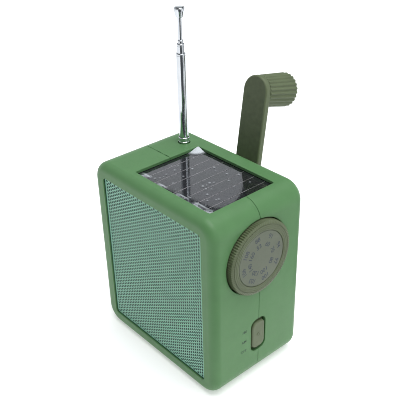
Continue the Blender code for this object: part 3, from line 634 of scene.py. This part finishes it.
def grille_sheet():
    """Staggered round holes, each in a cell with six corners, and a plain border."""
    low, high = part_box("speaker_grille")
    back_y = low.y + SHEET_T
    middle_z = (low.z + high.z) / 2
    column_w = HOLE_PITCH * sqrt(3) / 2
    half = HOLE_PITCH / 2
    edge = COLUMNS * column_w / 2
    top = ROWS * half + BAND
    bm = bmesh.new()
    made = {}

    def vertex(x, z, y):
        key = (round(x / MM, 4), round(z / MM, 4), y)
        if key not in made:
            made[key] = bm.verts.new((x, y, middle_z + z))
        return made[key]

    def plate(outline):
        """The same face on the front and on the back."""
        for y in (low.y, back_y):
            bm.faces.new([vertex(x, z, y) for x, z in outline])

    def wall(outline):
        """The sides of an outline, from the front to the back, in the second material, which is dark painted
        shade.
        """
        for (x, z), (to_x, to_z) in zip(outline, outline[1:] + outline[:1]):
            # hole and border walls are painted dark as shade
            face = bm.faces.new((vertex(x, z, low.y), vertex(x, z, back_y),
                                 vertex(to_x, to_z, back_y), vertex(to_x, to_z, low.y)))
            face.material_index = 1

    for column in range(COLUMNS):
        x = (column - (COLUMNS - 1) / 2) * column_w
        left, right = x - column_w / 2, x + column_w / 2
        count = ROWS - column % 2
        for row in range(count):
            z = (2 * row + 1 - count) * half
            cell = [(right, z), (right, z + half), (left, z + half),
                    (left, z), (left, z - half), (right, z - half)]
            hole = [(x + u, z + v) for u, v in circle(HOLE_R, HOLE_SIDES)]
            for i in range(6):
                a, b, c = (hole[k % HOLE_SIDES] for k in (2 * i, 2 * i + 1, 2 * i + 2))
                plate([cell[i], cell[(i + 1) % 6], c, b, a])
            wall(hole)
        levels = sorted({count * half, ROWS * half, top})
        for side in (-1, 1):
            plate([(right, side * z) for z in levels] + [(left, side * z) for z in reversed(levels)])

    steps = [-top] + [(i - ROWS) * half for i in range(2 * ROWS + 1)] + [top]
    seams = [(column - COLUMNS / 2) * column_w for column in range(COLUMNS + 1)]
    half_h = (high.z - low.z) / 2
    right, left = border_outline(edge, high.x, half_h)
    plate(right + [(edge, z) for z in reversed(steps)])
    plate(left + [(-edge, z) for z in steps])
    for side in (-1, 1):
        plate([(x, side * top) for x in seams] + [(edge, side * half_h), (-edge, side * half_h)])
    wall(right + left)
    sheet = make("grille_sheet", bm, SHEET, PAINTED_SHADE_GREEN)
    settle(sheet, "housing", "grille_sheet", "speaker_grille", angle=25)


def grille_gasket():
    """A thin dark ring between the opening's lip and the sheet, which is not a real part: painted shade, a dark
    line round the sheet where the gap behind the lip lies in shadow.
    """
    sheet_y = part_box("speaker_grille")[0].y
    width, height = opening_size()
    near, far = SHADOW_LINE_SPAN
    front, back = (sheet_y - out for out in SHADOW_LINE_OUT)
    rings = [opening_ring(width + 2 * grow, height + 2 * grow, OPENING_R + grow, y)
             for grow, y in ((near, front), (far, front), (far, back), (near, back))]
    settle(make("grille_gasket", loft(rings, looped=True), PAINTED_SHADE_GREEN), "housing", "grille_sheet")


def grille_cloth():
    """Dust cloth behind the sheet, with round corners and a slight unevenness."""
    low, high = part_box("grille_cloth")
    middle_z = (low.z + high.z) / 2
    width, height = high.x - low.x, high.z - low.z
    outline = rounded_rect(width, height, SHEET_R, 6)
    bm = bmesh.new()

    def row(y, v):
        reach = max((u for u, w in outline if abs(w) >= abs(v) - 1e-9), default=width / 2)
        across = [(2 * i / CLOTH_CELLS - 1) * reach for i in range(CLOTH_CELLS + 1)]
        sways = [CLOTH_SWAY * sin(u / CLOTH_WAVES[0]) * cos(v / CLOTH_WAVES[1]) for u in across]
        return [bm.verts.new((u, y + sway, middle_z + v)) for u, sway in zip(across, sways)]

    add_sheet(bm, [[row(y, (j / CLOTH_CELLS - 0.5) * height) for j in range(CLOTH_CELLS + 1)]
                   for y in (low.y + CLOTH_INSET, high.y - CLOTH_INSET)])
    cloth = settle(make("cloth", bm, CLOTH), "housing", "dust_cloth", "grille_cloth")


# ------------ solar panel
CELL_R = 0.8 * MM  # the cell's corners
CELL_FOOT, CELL_EDGE = 0.3 * MM, 0.2 * MM  # bevels at its bottom and top
LINE_PITCH = 7.75 * MM
LINES = 7
LINE_W = 0.42 * MM
LINE_Z = (0.005 * MM, 0.05 * MM)  # above the cell
FILM_T = 0.10 * MM
FILM_GAP = 0.02 * MM
FILM_GRID = (150, 116)
FULL_GLOSS = 0.25 * MM  # lift at which the film reflects most
# raised lobes along the film's front edge: place along the edge, half width, depth and height
FILM_LOBES = ((0.08, 5 * MM, 5 * MM, 0.5 * MM), (0.33, 5 * MM, 3.5 * MM, 0.4 * MM),
              (0.60, 6 * MM, 4.0 * MM, 0.6 * MM), (0.84, 7 * MM, 5.0 * MM, 0.7 * MM))
CORNER_REACH, CORNER_RISE, CORNER_HAZE_AND_HIGHLIGHT = 7 * MM, 1.1 * MM, 0.50  # front right corner, whose milky white is painted highlight
EDGE_REACH, EDGE_RUN = 0.9 * MM, 18 * MM  # milky edges, mostly painted highlight, that meet in that corner
FLAP_REACH, FLAP_RISE, FLAP_HAZE_AND_HIGHLIGHT = 7.5 * MM, 1.7 * MM, 0.62  # back left corner, whose white flap is painted highlight
BUBBLES = 34
# the bubbles' milky white is painted highlight
BUBBLE_RISE, BUBBLE_HAZE_AND_HIGHLIGHT = 0.14, 0.28  # rise as a share of its radius
MOST_HAZE_AND_HIGHLIGHT = 0.85


def solar_cell():
    """The coated cell with its pale dividing lines."""
    low, high, middle = span("solar_panel")
    width, depth = high.x - low.x, high.y - low.y
    rings = [(CELL_FOOT, low.z), (0.0, low.z + CELL_FOOT), (0.0, high.z - CELL_EDGE), (CELL_EDGE, high.z)]
    bm = loft([ring(on_top(middle.x, middle.y),
                    rounded_rect(width - 2 * inset, depth - 2 * inset, CELL_R, 5), z) for inset, z in rings])
    settle(make("solar_cell", bm, CELL), "housing", "solar_cell", "solar_panel")
    lines = bmesh.new()
    window_low, window_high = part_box("solar_film")
    first = (window_low.x + window_high.x - (LINES - 1) * LINE_PITCH) / 2
    for i in range(LINES):
        x = first + i * LINE_PITCH
        add_block(lines, (x - LINE_W / 2, window_low.y, high.z + LINE_Z[0]),
                  (x + LINE_W / 2, window_high.y, high.z + LINE_Z[1]))
    settle(make("solar_cell_lines", lines, CELL_LINE), "housing", "steel")


def bell(distance, reach):
    """1 at the middle, falling smoothly to 0 at reach."""
    if distance >= reach:
        return 0.0
    return 0.5 + 0.5 * cos(pi * distance / reach)


def film_lift(x, y, low, high, bubbles):
    """How far the film stands off the cell at a point, and how milky white it is there, which is mostly painted
    highlight.
    """
    front, back = y - low.y, high.y - y
    left, right = x - low.x, high.x - x
    lift = 0.0
    haze_and_highlight = 0.0
    for at, reach, deep, rise in FILM_LOBES:
        across = bell(abs(x - (low.x + at * (high.x - low.x))), reach)
        lobe = across * bell(front, deep)
        crest = across * bell(abs(front - 0.62 * deep), 0.22 * deep)
        lift += rise * lobe
        # painted highlight along each lobe's crest, with a little milkiness over the lobe
        haze_and_highlight += 0.08 * lobe + 0.28 * crest
    corner = hypot(front, right)
    lift += CORNER_RISE * bell(corner, CORNER_REACH) ** 1.5
    haze_and_highlight += CORNER_HAZE_AND_HIGHLIGHT * bell(min(front, right), EDGE_REACH) * bell(corner, EDGE_RUN)
    flap = bell(hypot(left, 0.8 * back), FLAP_REACH)
    lift += FLAP_RISE * flap ** 1.6
    haze_and_highlight += min(FLAP_HAZE_AND_HIGHLIGHT, 2.4 * flap ** 1.4)
    for at_x, at_y, size in bubbles:
        bump = bell(hypot(x - at_x, y - at_y), size)
        lift += BUBBLE_RISE * size * bump
        haze_and_highlight += BUBBLE_HAZE_AND_HIGHLIGHT * bump
    return lift, min(haze_and_highlight, MOST_HAZE_AND_HIGHLIGHT)


def solar_film():
    """Lifted along the front, curled at two corners, with small bubbles under it."""
    low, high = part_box("solar_film")
    draw = random.Random(7)
    bubbles = [(draw.uniform(low.x + 4 * MM, high.x - 2 * MM), draw.uniform(low.y + 2 * MM, high.y - 4 * MM),
                draw.uniform(0.35, 0.9) * MM) for _ in range(BUBBLES)]
    across, deep = FILM_GRID
    spots = [(low.x + (high.x - low.x) * i / across, low.y + (high.y - low.y) * j / deep)
             for j in range(deep + 1) for i in range(across + 1)]
    lifts, hazes_and_highlights = zip(*(film_lift(x, y, low, high, bubbles) for x, y in spots))
    bm = bmesh.new()
    layers = []
    for thickness in (0.0, FILM_T):
        verts = [bm.verts.new((x, y, low.z + FILM_GAP + lift + thickness))
                 for (x, y), lift in zip(spots, lifts)]
        layers.append([verts[start:start + across + 1] for start in range(0, len(verts), across + 1)])
    add_sheet(bm, layers)
    film = make("film", bm, FILM)
    glossy = [min(1.0, lift / FULL_GLOSS) for lift in lifts]
    for name, values in (("haze_and_highlight", hazes_and_highlights), ("lifted", glossy)):
        film.data.attributes.new(name, "FLOAT", "POINT").data.foreach_set("value", list(values) * 2)
    settle(film, "housing", "clear_film", "solar_film")


# ------------ tuning dial
KNURLS = 100
KNURL_DEEP = 0.55 * MM
DIAL_BORE_R, DIAL_BORE_DEEP = 3.3 * MM, 3.4 * MM
FACE_GAP, FACE_DEEP = 0.3 * MM, 1.2 * MM  # round the inset disc, and the step down to it
DIAL_ROUND = 0.12 * MM
# the knob's front: mm inwards from its rim, mm back from its front, share of the knurls' depth
DIAL_PROFILE = ((0.0, 0.75, 1.0), (0.15, 0.55, 1.0), (1.70, 0.08, 0.9), (1.80, 0.08, 0.0), (1.84, 0.40, 0.0),
                (2.10, 0.40, 0.0), (2.16, 0.0, 0.0), (2.90, 0.0, 0.0), (2.95, 0.12, 0.0), (3.12, 0.12, 0.0),
                (3.18, 0.0, 0.0), (4.00, 0.0, 0.0), (4.05, 0.12, 0.0), (4.22, 0.12, 0.0), (4.28, 0.0, 0.0))
PRINT_T, PRINT_GAP = 0.03 * MM, 0.015 * MM  # raised printing, and its gap to the face
CAPITALS = 0.7  # height of a capital as a share of the font's size
BOLDER = 0.022  # how much the strokes grow, as a share of the height
NUMERAL_H = 2.5 * MM
NUMERAL_TURN = radians(14)
NUMERAL_RINGS = ((12.4 * MM, (88, 91, 94, 97, 100, 103, 106, 108)),
                 (8.0 * MM, (53, 60, 70, 80, 100, 120, 140, 160)))


def tuning_dial():
    """A flat knob with a knurled edge, a turned line and a stepped-in face."""
    low, high, middle = span("tuning_dial")
    radius = high.z - middle.z
    face_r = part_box("dial_insert")[1].z - middle.z + FACE_GAP
    front = high.x
    profile = [(DIAL_BORE_R, low.x + DIAL_BORE_DEEP, 0.0), (DIAL_BORE_R, low.x, 0.0),
               (radius - 0.5 * MM, low.x, 0.0), (radius, low.x + 0.4 * MM, 1.0)]
    profile += inwards(radius, front, DIAL_PROFILE)
    profile += [(face_r + DIAL_ROUND, front, 0.0), (face_r, front - DIAL_ROUND, 0.0),
                (face_r, front - FACE_DEEP, 0.0)]
    bm = fluted(on_side(middle.y, middle.z), profile, KNURLS, KNURL_DEEP)
    settle(make("dial_knob", bm, DIAL_RING), "dial", "olive_plastic", "tuning_dial", angle=50)


def lettering(name, material, height, x, align, items):
    """Raised printing on a face that looks along +X. Items are (text, y, z, turn)."""
    bm = bmesh.new()
    for text, y, z, turn in items:
        curve = bpy.data.curves.new("text", "FONT")
        curve.body = text
        curve.size = height / CAPITALS
        curve.align_x = align
        curve.align_y = "CENTER"
        curve.extrude = PRINT_T / 2
        curve.offset = BOLDER * height
        text_object = link("text", curve)
        graph = bpy.context.evaluated_depsgraph_get()
        mesh = bpy.data.meshes.new_from_object(text_object.evaluated_get(graph))
        place = Matrix(((0, 0, 1, x), (1, 0, 0, y), (0, 1, 0, z), (0, 0, 0, 1)))
        mesh.transform(place @ Matrix.Rotation(turn, 4, "Z"))
        bm.from_mesh(mesh)
        bpy.data.objects.remove(text_object)
    bmesh.ops.remove_doubles(bm, verts=bm.verts, dist=1e-6)
    return make(name, bm, material)


def dial_face():
    """The inset disc and its two rings of station numbers."""
    low, high, middle = span("dial_insert")
    radius = high.z - middle.z
    profile = [(radius - 0.1 * MM, low.x), (radius, low.x + 0.1 * MM), (radius, high.x - DIAL_ROUND),
               (radius - DIAL_ROUND, high.x)]
    bm = turned(on_side(middle.y, middle.z), profile, 120)
    settle(make("dial_disc", bm, INSERT), "dial", "dial_face", "dial_insert")
    items = []
    for ring_r, numbers in NUMERAL_RINGS:
        for i, number in enumerate(numbers):
            turn = tau * (0.25 - i / len(numbers)) + NUMERAL_TURN
            items.append((str(number), middle.y + ring_r * cos(turn), middle.z + ring_r * sin(turn),
                          turn - pi / 2))
    numerals = lettering("dial_numerals", INK, NUMERAL_H, high.x + PRINT_GAP, "CENTER", items)
    settle(numerals, "dial", "dial_face")


# ------------ band switch
BUTTON = (9.2 * MM, 17.6 * MM, 3.4 * MM)  # width, height, corner radius
BUTTON_ROUND = 0.9 * MM
FLANGE_T = FLANGE_R = 1.5 * MM
# the raised dot on the button: its radius, and how far out of the button
DOT = ((1.35 * MM, -0.4 * MM), (1.35 * MM, 0.12 * MM), (1.2 * MM, 0.22 * MM), (0.85 * MM, 0.22 * MM),
       (0.75 * MM, 0.08 * MM))
LABEL_H = 1.7 * MM
LABEL_END = -9.1 * MM  # where the labels end, towards the slot
LABELS = (("FM", 35.2 * MM), ("AM", 28.6 * MM), ("OFF", 22.2 * MM))


def band_switch():
    low, high, middle = span("switch_slider")
    width, height, radius = BUTTON
    flange = rounded_rect(high.y - low.y, high.z - low.z, FLANGE_R)
    rings = [(flange, low.x), (flange, low.x + FLANGE_T), (rounded_rect(*BUTTON), low.x + FLANGE_T)]
    rings += [(rounded_rect(width - 2 * BUTTON_ROUND * grow, height - 2 * BUTTON_ROUND * grow,
                            radius - BUTTON_ROUND * grow), high.x - BUTTON_ROUND * down)
              for grow, down in quarter(6)]
    place = on_side(middle.y, middle.z)
    button = make("switch_button", loft([ring(place, outline, x) for outline, x in rings]), OLIVE)
    combine(button, turned(place, [(r, high.x + out) for r, out in DOT], 36), "UNION")
    settle(button, "switch", "olive_plastic", "switch_slider")
    items = [(text, LABEL_END, z, 0.0) for text, z in LABELS]
    labels = lettering("switch_labels", LABEL_INK, LABEL_H, SIDE + PRINT_GAP, "RIGHT", items)
    settle(labels, "housing", "black_plastic")


# ------------ volume wheel
WHEEL_GROOVES, WHEEL_GROOVE_DEEP = 64, 0.35 * MM
# each edge: mm inwards from the rim, mm from the end, share of the grooves' depth
WHEEL_EDGE = ((0.9, 0.0, 0.0), (0.45, 0.12, 0.6), (0.0, 0.5, 1.0))


def volume_wheel():
    low, high, middle = span("volume_wheel")
    radius = high.z - middle.z
    profile = inwards(radius, low.y, WHEEL_EDGE, -1) + inwards(radius, high.y, WHEEL_EDGE[::-1])
    bm = fluted(on_back(middle.x, middle.z), profile, WHEEL_GROOVES, WHEEL_GROOVE_DEEP)
    settle(make("volume_knob", bm, OLIVE), "volume", "olive_plastic", "volume_wheel", angle=50)


# ------------ rod antenna
COLLAR_BORE_R = 2.8 * MM
COLLAR_FOOT, COLLAR_STEP = 1.3 * MM, 1.85 * MM  # height of the wide foot, and how far it stands out
# tops of the pieces: mm inwards from the rim, mm down from the end
COLLAR_TOP = ((0.0, 2.6), (0.18, 2.45), (0.18, 1.95), (0.0, 1.8), (0.0, 0.5), (0.12, 0.14), (0.3, 0.0))
TUBE_TOP = ((0.0, 1.5), (0.10, 1.35), (0.10, 1.05), (0.0, 0.9), (0.0, 0.3), (0.08, 0.1), (0.2, 0.0))
ROD_TOP = ((0.0, 0.1), (0.1, 0.0))
CAP_TOP = ((0.0, 0.9), (0.12, 0.5), (0.4, 0.18), (0.9, 0.03))
TUBE_WALLS = (0.30 * MM, 0.35 * MM, 0.25 * MM)
CAP_BORE_R, CAP_BORE_DEEP = 1.4 * MM, 3.3 * MM
CAP_FOOT_R, CAP_END_R = 2.0 * MM, 0.8 * MM


def antenna():
    """Polished tubes with rolled-in ends, the collar that they stand in and the cap at the top."""
    axis = centre("antenna_rod")

    def part(name, body, node, profile, looped=True):
        bm = turned(on_top(axis.x, axis.y), profile, 48, looped)
        settle(make(name, bm, CHROME), body, "chrome", node)

    def ends(node):
        """The node's bottom and top, and its radius."""
        low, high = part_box(node)
        return low.z, high.z, high.x - axis.x

    foot, top, foot_r = ends("antenna_collar")
    neck_r = foot_r - COLLAR_STEP
    part("collar", "housing", "antenna_collar",
         [(COLLAR_BORE_R, foot), (foot_r, foot), (foot_r, foot + COLLAR_FOOT), (neck_r, foot + COLLAR_FOOT)]
         + inwards(neck_r, top, COLLAR_TOP) + [(COLLAR_BORE_R, top)])
    for number, wall in enumerate(TUBE_WALLS, 1):
        node = "antenna_tube_%d" % number
        foot, top, outer = ends(node)
        inner = outer - wall
        part("antenna_%d" % number, "antenna_section_%d" % number, node,
             [(inner, foot), (outer - 0.06 * MM, foot), (outer, foot + 0.1 * MM)]
             + inwards(outer, top, TUBE_TOP) + [(inner, top)])
    foot, top, rod_r = ends("antenna_rod")
    part("antenna_4", "antenna_section_4", "antenna_rod",
         [(rod_r - 0.1 * MM, foot), (rod_r, foot + 0.1 * MM)] + inwards(rod_r, top, ROD_TOP), False)
    foot, top, tip_r = ends("antenna_tip")
    waist = foot + CAP_BORE_DEEP
    part("antenna_cap", "antenna_section_4", "antenna_tip",
         [(CAP_BORE_R, waist), (CAP_BORE_R, foot), (CAP_FOOT_R - 0.15 * MM, foot),
          (CAP_FOOT_R, foot + 0.15 * MM), (tip_r - 0.1 * MM, waist), (tip_r, foot + 3.6 * MM)]
         + inwards(tip_r, top, CAP_TOP) + [(CAP_END_R, top)], False)


# ------------ crank
ARM_W = 18.0 * MM
ARM_T = 3.6 * MM
ARM_BEVEL = 0.85 * MM
ARM_FOOT = 1.0 * MM  # how far the arm goes on past the hinge's axis
BROAD_FACE = 20 * MM * MM  # faces larger than this are the arm's broad faces, rougher and painted darker as shade
BARREL_R = 2.6 * MM
HUB_R = 15.0 * MM
HUB_GAP, HUB_T, HUB_EDGE = 0.3 * MM, 1.65 * MM, 0.6 * MM
HUB_LEAN = radians(-4.0)
HUB_BORE_R = 2.8 * MM
EAR_R = 3.2 * MM
EAR_IN, EAR_OUT = 9.6 * MM, 13.0 * MM  # an ear's inner and outer side, from the middle
EAR_FOOT = 0.9 * MM
PIN_R, PIN_BEVEL, PIN_BORE_R = 1.5 * MM, 0.2 * MM, 1.8 * MM
KNOB_PIN_BORE_R = 2.5 * MM
FLUTES, FLUTE_DEEP = 24, 0.75 * MM
KNOB_GAP, KNOB_L = 0.4 * MM, 21.7 * MM
KNOB_NEAR_R, KNOB_FAR_R = 9.0 * MM, 9.8 * MM
KNOB_BORE_R, KNOB_BORE_END = 2.6 * MM, 20.0 * MM
# the knob's two ends: mm inwards, mm from the end, share of the flutes' depth
KNOB_NEAR = ((1.2, 0.0, 0.0), (0.5, 0.05, 0.3), (0.1, 0.35, 0.8), (0.0, 0.8, 1.0))
KNOB_FAR = ((0.0, 1.6, 1.0), (0.1, 1.0, 1.0), (0.4, 0.5, 0.9), (0.9, 0.15, 0.6), (1.7, 0.0, 0.0))


def crank_frame():
    """Row frame of the crank arm at rest: local X across the arm, Z along the knob's axis, origin on it."""
    z = Vector(JOINTS["knob_spin"]["axis"]).normalized()
    x = Vector(JOINTS["arm_fold"]["axis"])
    x = (x - x.dot(z) * z).normalized()
    matrix = Matrix((x, z.cross(x), z)).transposed().to_4x4()
    matrix.translation = JOINTS["knob_spin"]["pos_m"]
    return matrix


def crank_hub():
    """The disc with its two hinge ears, made upright and then leant over."""
    pin_y = Vector(JOINTS["arm_fold"]["pos_m"]).y
    lean = Matrix.Translation((0, 0, CRANK_Z)) @ Matrix.Rotation(HUB_LEAN, 4, "Y")
    base = BACK + HUB_GAP
    profile = [(HUB_R - 0.2 * MM, base), (HUB_R, base + 0.2 * MM)]
    profile += [(HUB_R - HUB_EDGE * grow, base + HUB_T - HUB_EDGE * down) for grow, down in quarter()]
    hub = make("hub", turned(on_back(0, 0), profile, 96), OLIVE)
    arc = [(pin_y + EAR_R * sin(pi * i / 24), EAR_R * cos(pi * i / 24)) for i in range(25)]
    outline = [(BACK + EAR_FOOT, EAR_R)] + arc + [(BACK + EAR_FOOT, -EAR_R)]
    ears = bmesh.new()
    for inner, outer in ((-EAR_IN, -EAR_OUT), (EAR_IN, EAR_OUT)):
        add_loft(ears, [ring(on_side(0, 0), outline, x) for x in (inner, outer)])
    combine(hub, ears, "UNION")
    combine(hub, add_rod(bmesh.new(), on_back(0, 0), HUB_BORE_R, (BACK - 2 * MM, BACK + 4 * MM)))
    combine(hub, add_rod(bmesh.new(), on_side(pin_y, 0), PIN_BORE_R, (-15 * MM, 15 * MM), 32))
    hub.data.transform(lean)
    settle(hub, "crank", "olive_plastic", "crank_hub")
    ends = [(PIN_R - PIN_BEVEL, -EAR_OUT), (PIN_R, PIN_BEVEL - EAR_OUT), (PIN_R, EAR_OUT - PIN_BEVEL),
            (PIN_R - PIN_BEVEL, EAR_OUT)]
    pin = make("hub_pin", turned(on_side(pin_y, 0), ends, 32), STEEL)
    pin.data.transform(lean)
    settle(pin, "crank", "steel", "hinge_pin")


def arm_outline(inset, steps=32):
    """Straight sides up to a half-round end, in the arm's frame: x across, y from the knob's axis."""
    half = ARM_W / 2 - inset
    foot = -ARM_LENGTH - ARM_FOOT
    ends = [(half * cos(pi * i / steps), half * sin(pi * i / steps))
            for i in range(steps + 1)]
    return ends + [(-half, foot), (half, foot)]


def crank_arm():
    """A flat lever with rounded edges, a barrel at the hinge and a bore for the knob's pin."""
    half = ARM_T / 2
    rings = [(ARM_BEVEL * grow, ARM_BEVEL * down - half) for grow, down in quarter()][::-1]
    rings += [(ARM_BEVEL * grow, half - ARM_BEVEL * down) for grow, down in quarter()]
    arm = make("lever", loft([ring(on_top(0, 0), arm_outline(inset), z) for inset, z in rings]),
               OLIVE, OLIVE_SHADED_FACE)
    hinge = on_side(-ARM_LENGTH, 0)
    ends = (-ARM_W / 2 + 0.2 * MM, ARM_W / 2 - 0.2 * MM)
    combine(arm, add_rod(bmesh.new(), hinge, BARREL_R, ends), "UNION")
    combine(arm, add_rod(bmesh.new(), hinge, PIN_BORE_R, (-ARM_W, ARM_W), 32))
    combine(arm, add_rod(bmesh.new(), on_top(0, 0), KNOB_PIN_BORE_R, (0, ARM_T)))
    # the broad faces get the darker olive copy, which is painted shade
    for face in arm.data.polygons:
        face.material_index = 1 if abs(face.normal.z) > 0.999 and face.area > BROAD_FACE else 0
    arm.data.transform(crank_frame())
    settle(arm, "arm", "olive_plastic", "crank_arm")


def crank_knob():
    """A slightly tapered grip with straight flutes and rounded ends."""
    near = ARM_T / 2 + KNOB_GAP
    far = near + KNOB_L
    profile = inwards(KNOB_NEAR_R, near, KNOB_NEAR, -1) + inwards(KNOB_FAR_R, far, KNOB_FAR)
    knob = make("knob_grip", fluted(on_top(0, 0), profile, FLUTES, FLUTE_DEEP, 8), OLIVE)
    combine(knob, add_rod(bmesh.new(), on_top(0, 0), KNOB_BORE_R, (near - 1 * MM, KNOB_BORE_END), 40))
    knob.data.transform(crank_frame())
    settle(knob, "knob", "olive_plastic", "crank_knob", angle=45)


# ------------ studio
CAMERA_AT = Vector((0.256465, -0.216414, 0.286990))
CAMERA_AZIMUTH = radians(49.43)
CAMERA_PITCH = radians(30.23)
CAMERA_ROLL = radians(-1.568)
FOCAL_LENGTH = 64.19
TABLE_NEAR, TABLE_FAR, TABLE_Z = 0.10, 1.2, 0.0005
TABLE_SECTORS = ((-62, 6), (14, 27), (44, 66))  # degrees round from +X
FLOOR_HALF, FLOOR_Z, FLOOR_GLOW = 40, -0.0002, 0.40
# brightness of the room round the horizon, from 0 to 1 as the angle goes from -180 to 180 degrees
ROOM_LIGHT = ((0.0, 0.80), (0.10, 0.55), (0.22, 0.16), (0.33, 0.14), (0.40, 0.15), (0.50, 0.25), (0.54, 0.25),
              (0.56, 0.85), (0.60, 0.90), (0.63, 0.30), (0.68, 0.35), (0.74, 0.95), (1.0, 0.80))


def camera():
    look = Vector((-sin(CAMERA_AZIMUTH) * cos(CAMERA_PITCH),
                   cos(CAMERA_AZIMUTH) * cos(CAMERA_PITCH), -sin(CAMERA_PITCH)))
    data = bpy.data.cameras.new("camera")
    data.lens = FOCAL_LENGTH
    data.sensor_width = 36.0
    data.clip_start = 0.01
    obj = link("camera", data)
    turn = look.to_track_quat("-Z", "Y").to_matrix().to_4x4() @ Matrix.Rotation(CAMERA_ROLL, 4, "Z")
    obj.matrix_world = Matrix.Translation(CAMERA_AT) @ turn
    bpy.context.scene.camera = obj


def area_light(name, place, target, size, power, colour=(1.0, 1.0, 1.0)):
    data = bpy.data.lights.new(name, "AREA")
    data.shape = "SQUARE"
    data.size = size
    data.energy = power
    data.color = colour
    turn = (Vector(target) - Vector(place)).to_track_quat("-Z", "Y").to_matrix().to_4x4()
    link(name, data).matrix_world = Matrix.Translation(place) @ turn


def flat(points):
    bm = bmesh.new()
    bm.faces.new([bm.verts.new(point) for point in points])
    return bm


def stage_plastic(name, colour, roughness, variation=0.01):
    return plastic(name, colour, roughness, variation, grain=2 * MM, relief=0.01, mottle=0.1)


def reflected_only(card):
    """A piece of the surroundings that shows in glossy surfaces and nowhere else."""
    card.visible_camera = False
    card.visible_diffuse = False
    card.visible_shadow = False


def dark_table():
    """Sectors of dark table round the object, seen only in reflections, which give the chrome its streaks."""
    dark = stage_plastic("dark_table", (0.05, 0.055, 0.06), 0.8)
    for number, (start, end) in enumerate(TABLE_SECTORS, 1):
        angles = [radians(start + (end - start) * i / 12) for i in range(13)]
        outline = [(TABLE_NEAR * cos(a), TABLE_NEAR * sin(a)) for a in angles]
        outline += [(TABLE_FAR * cos(a), TABLE_FAR * sin(a)) for a in reversed(angles)]
        reflected_only(make("dark_table_%d" % number, flat([(u, v, TABLE_Z) for u, v in outline]), dark))


def dark_room():
    """The dark room past the backdrop's rounded corner, seen only in the solar panel's reflections."""
    away, towards = 30.0, radians(137.5)
    edge, ceiling, corner, foot = 1.1, 18.0, 1.35, 2.0
    left, right, top, slope = -15.0, 25.0, 35.0, 0.47
    turns = [pi / 2 * i / 12 for i in range(13)]
    outline = [(edge, foot)]
    outline += [(edge - corner + corner * cos(a), ceiling - corner + corner * sin(a)) for a in turns]
    outline += [(left, ceiling + left * slope), (left, top), (right, top), (right, foot)]
    out = Vector((cos(towards), sin(towards), 0)) * away
    across = Vector((sin(towards), -cos(towards), 0))
    bm = flat([out + across * h + Vector((0, 0, TOP + v)) for h, v in outline])
    reflected_only(make("dark_room", bm, stage_plastic("dark_card", (0.04, 0.045, 0.04), 0.9)))


def surroundings():
    """A white room that is dimmer on the side the camera is on, which is what the chrome shows."""
    world = bpy.data.worlds.new("room")
    world.use_nodes = True
    tree = world.node_tree
    direction = add(tree, "SeparateXYZ", {"Vector": add(tree, "TexCoord", {}).outputs["Generated"]})
    angle = math_node(tree, "ARCTAN2", direction.outputs["Y"], direction.outputs["X"])
    turn = spread(tree, angle, 0.0, 1.0, -pi, pi)
    colours = add(tree, "ValToRGB", {"Fac": turn})
    elements = colours.color_ramp.elements
    while len(elements) < len(ROOM_LIGHT):
        elements.new(0.5)
    for element, (position, level) in zip(elements, ROOM_LIGHT):
        element.position = position
        element.color = (level * 0.97, level, level * 1.02, 1.0)
    background = tree.nodes["Background"]
    tree.links.new(colours.outputs["Color"], background.inputs["Color"])
    background.inputs["Strength"].default_value = 1.0
    bpy.context.scene.world = world


def studio():
    """The floor, the lights, the room and the camera."""
    bm = flat([(u * FLOOR_HALF, v * FLOOR_HALF, FLOOR_Z) for u, v in ((-1, -1), (1, -1), (1, 1), (-1, 1))])
    card = stage_plastic("floor_card", (0.92, 0.92, 0.93), 0.8, 0.005)
    glow = card.node_tree.nodes["Principled BSDF"].inputs
    glow["Emission Color"].default_value = (1.0, 1.0, 1.0, 1.0)
    glow["Emission Strength"].default_value = FLOOR_GLOW
    make("floor", bm, card)
    area_light("key", place=(0.30, 0.06, 1.35), target=(0, 0, 0.06), size=1.0, power=14.5)
    area_light("side", place=(1.1, 0.05, 0.65), target=(0, 0, 0.08), size=0.7, power=2.0,
               colour=(0.98, 1.0, 1.0))
    dark_table()
    dark_room()
    surroundings()
    camera()
    bpy.context.scene.view_settings.view_transform = "Standard"
    bpy.context.scene.cycles.filter_width = 1.0


# ------------ the radio
finish_inner_nodes()
front_case()
rear_case()
case_screws()
grille_sheet()
grille_gasket()
grille_cloth()
solar_cell()
solar_film()
tuning_dial()
dial_face()
band_switch()
volume_wheel()
antenna()
crank_hub()
crank_arm()
crank_knob()
studio()
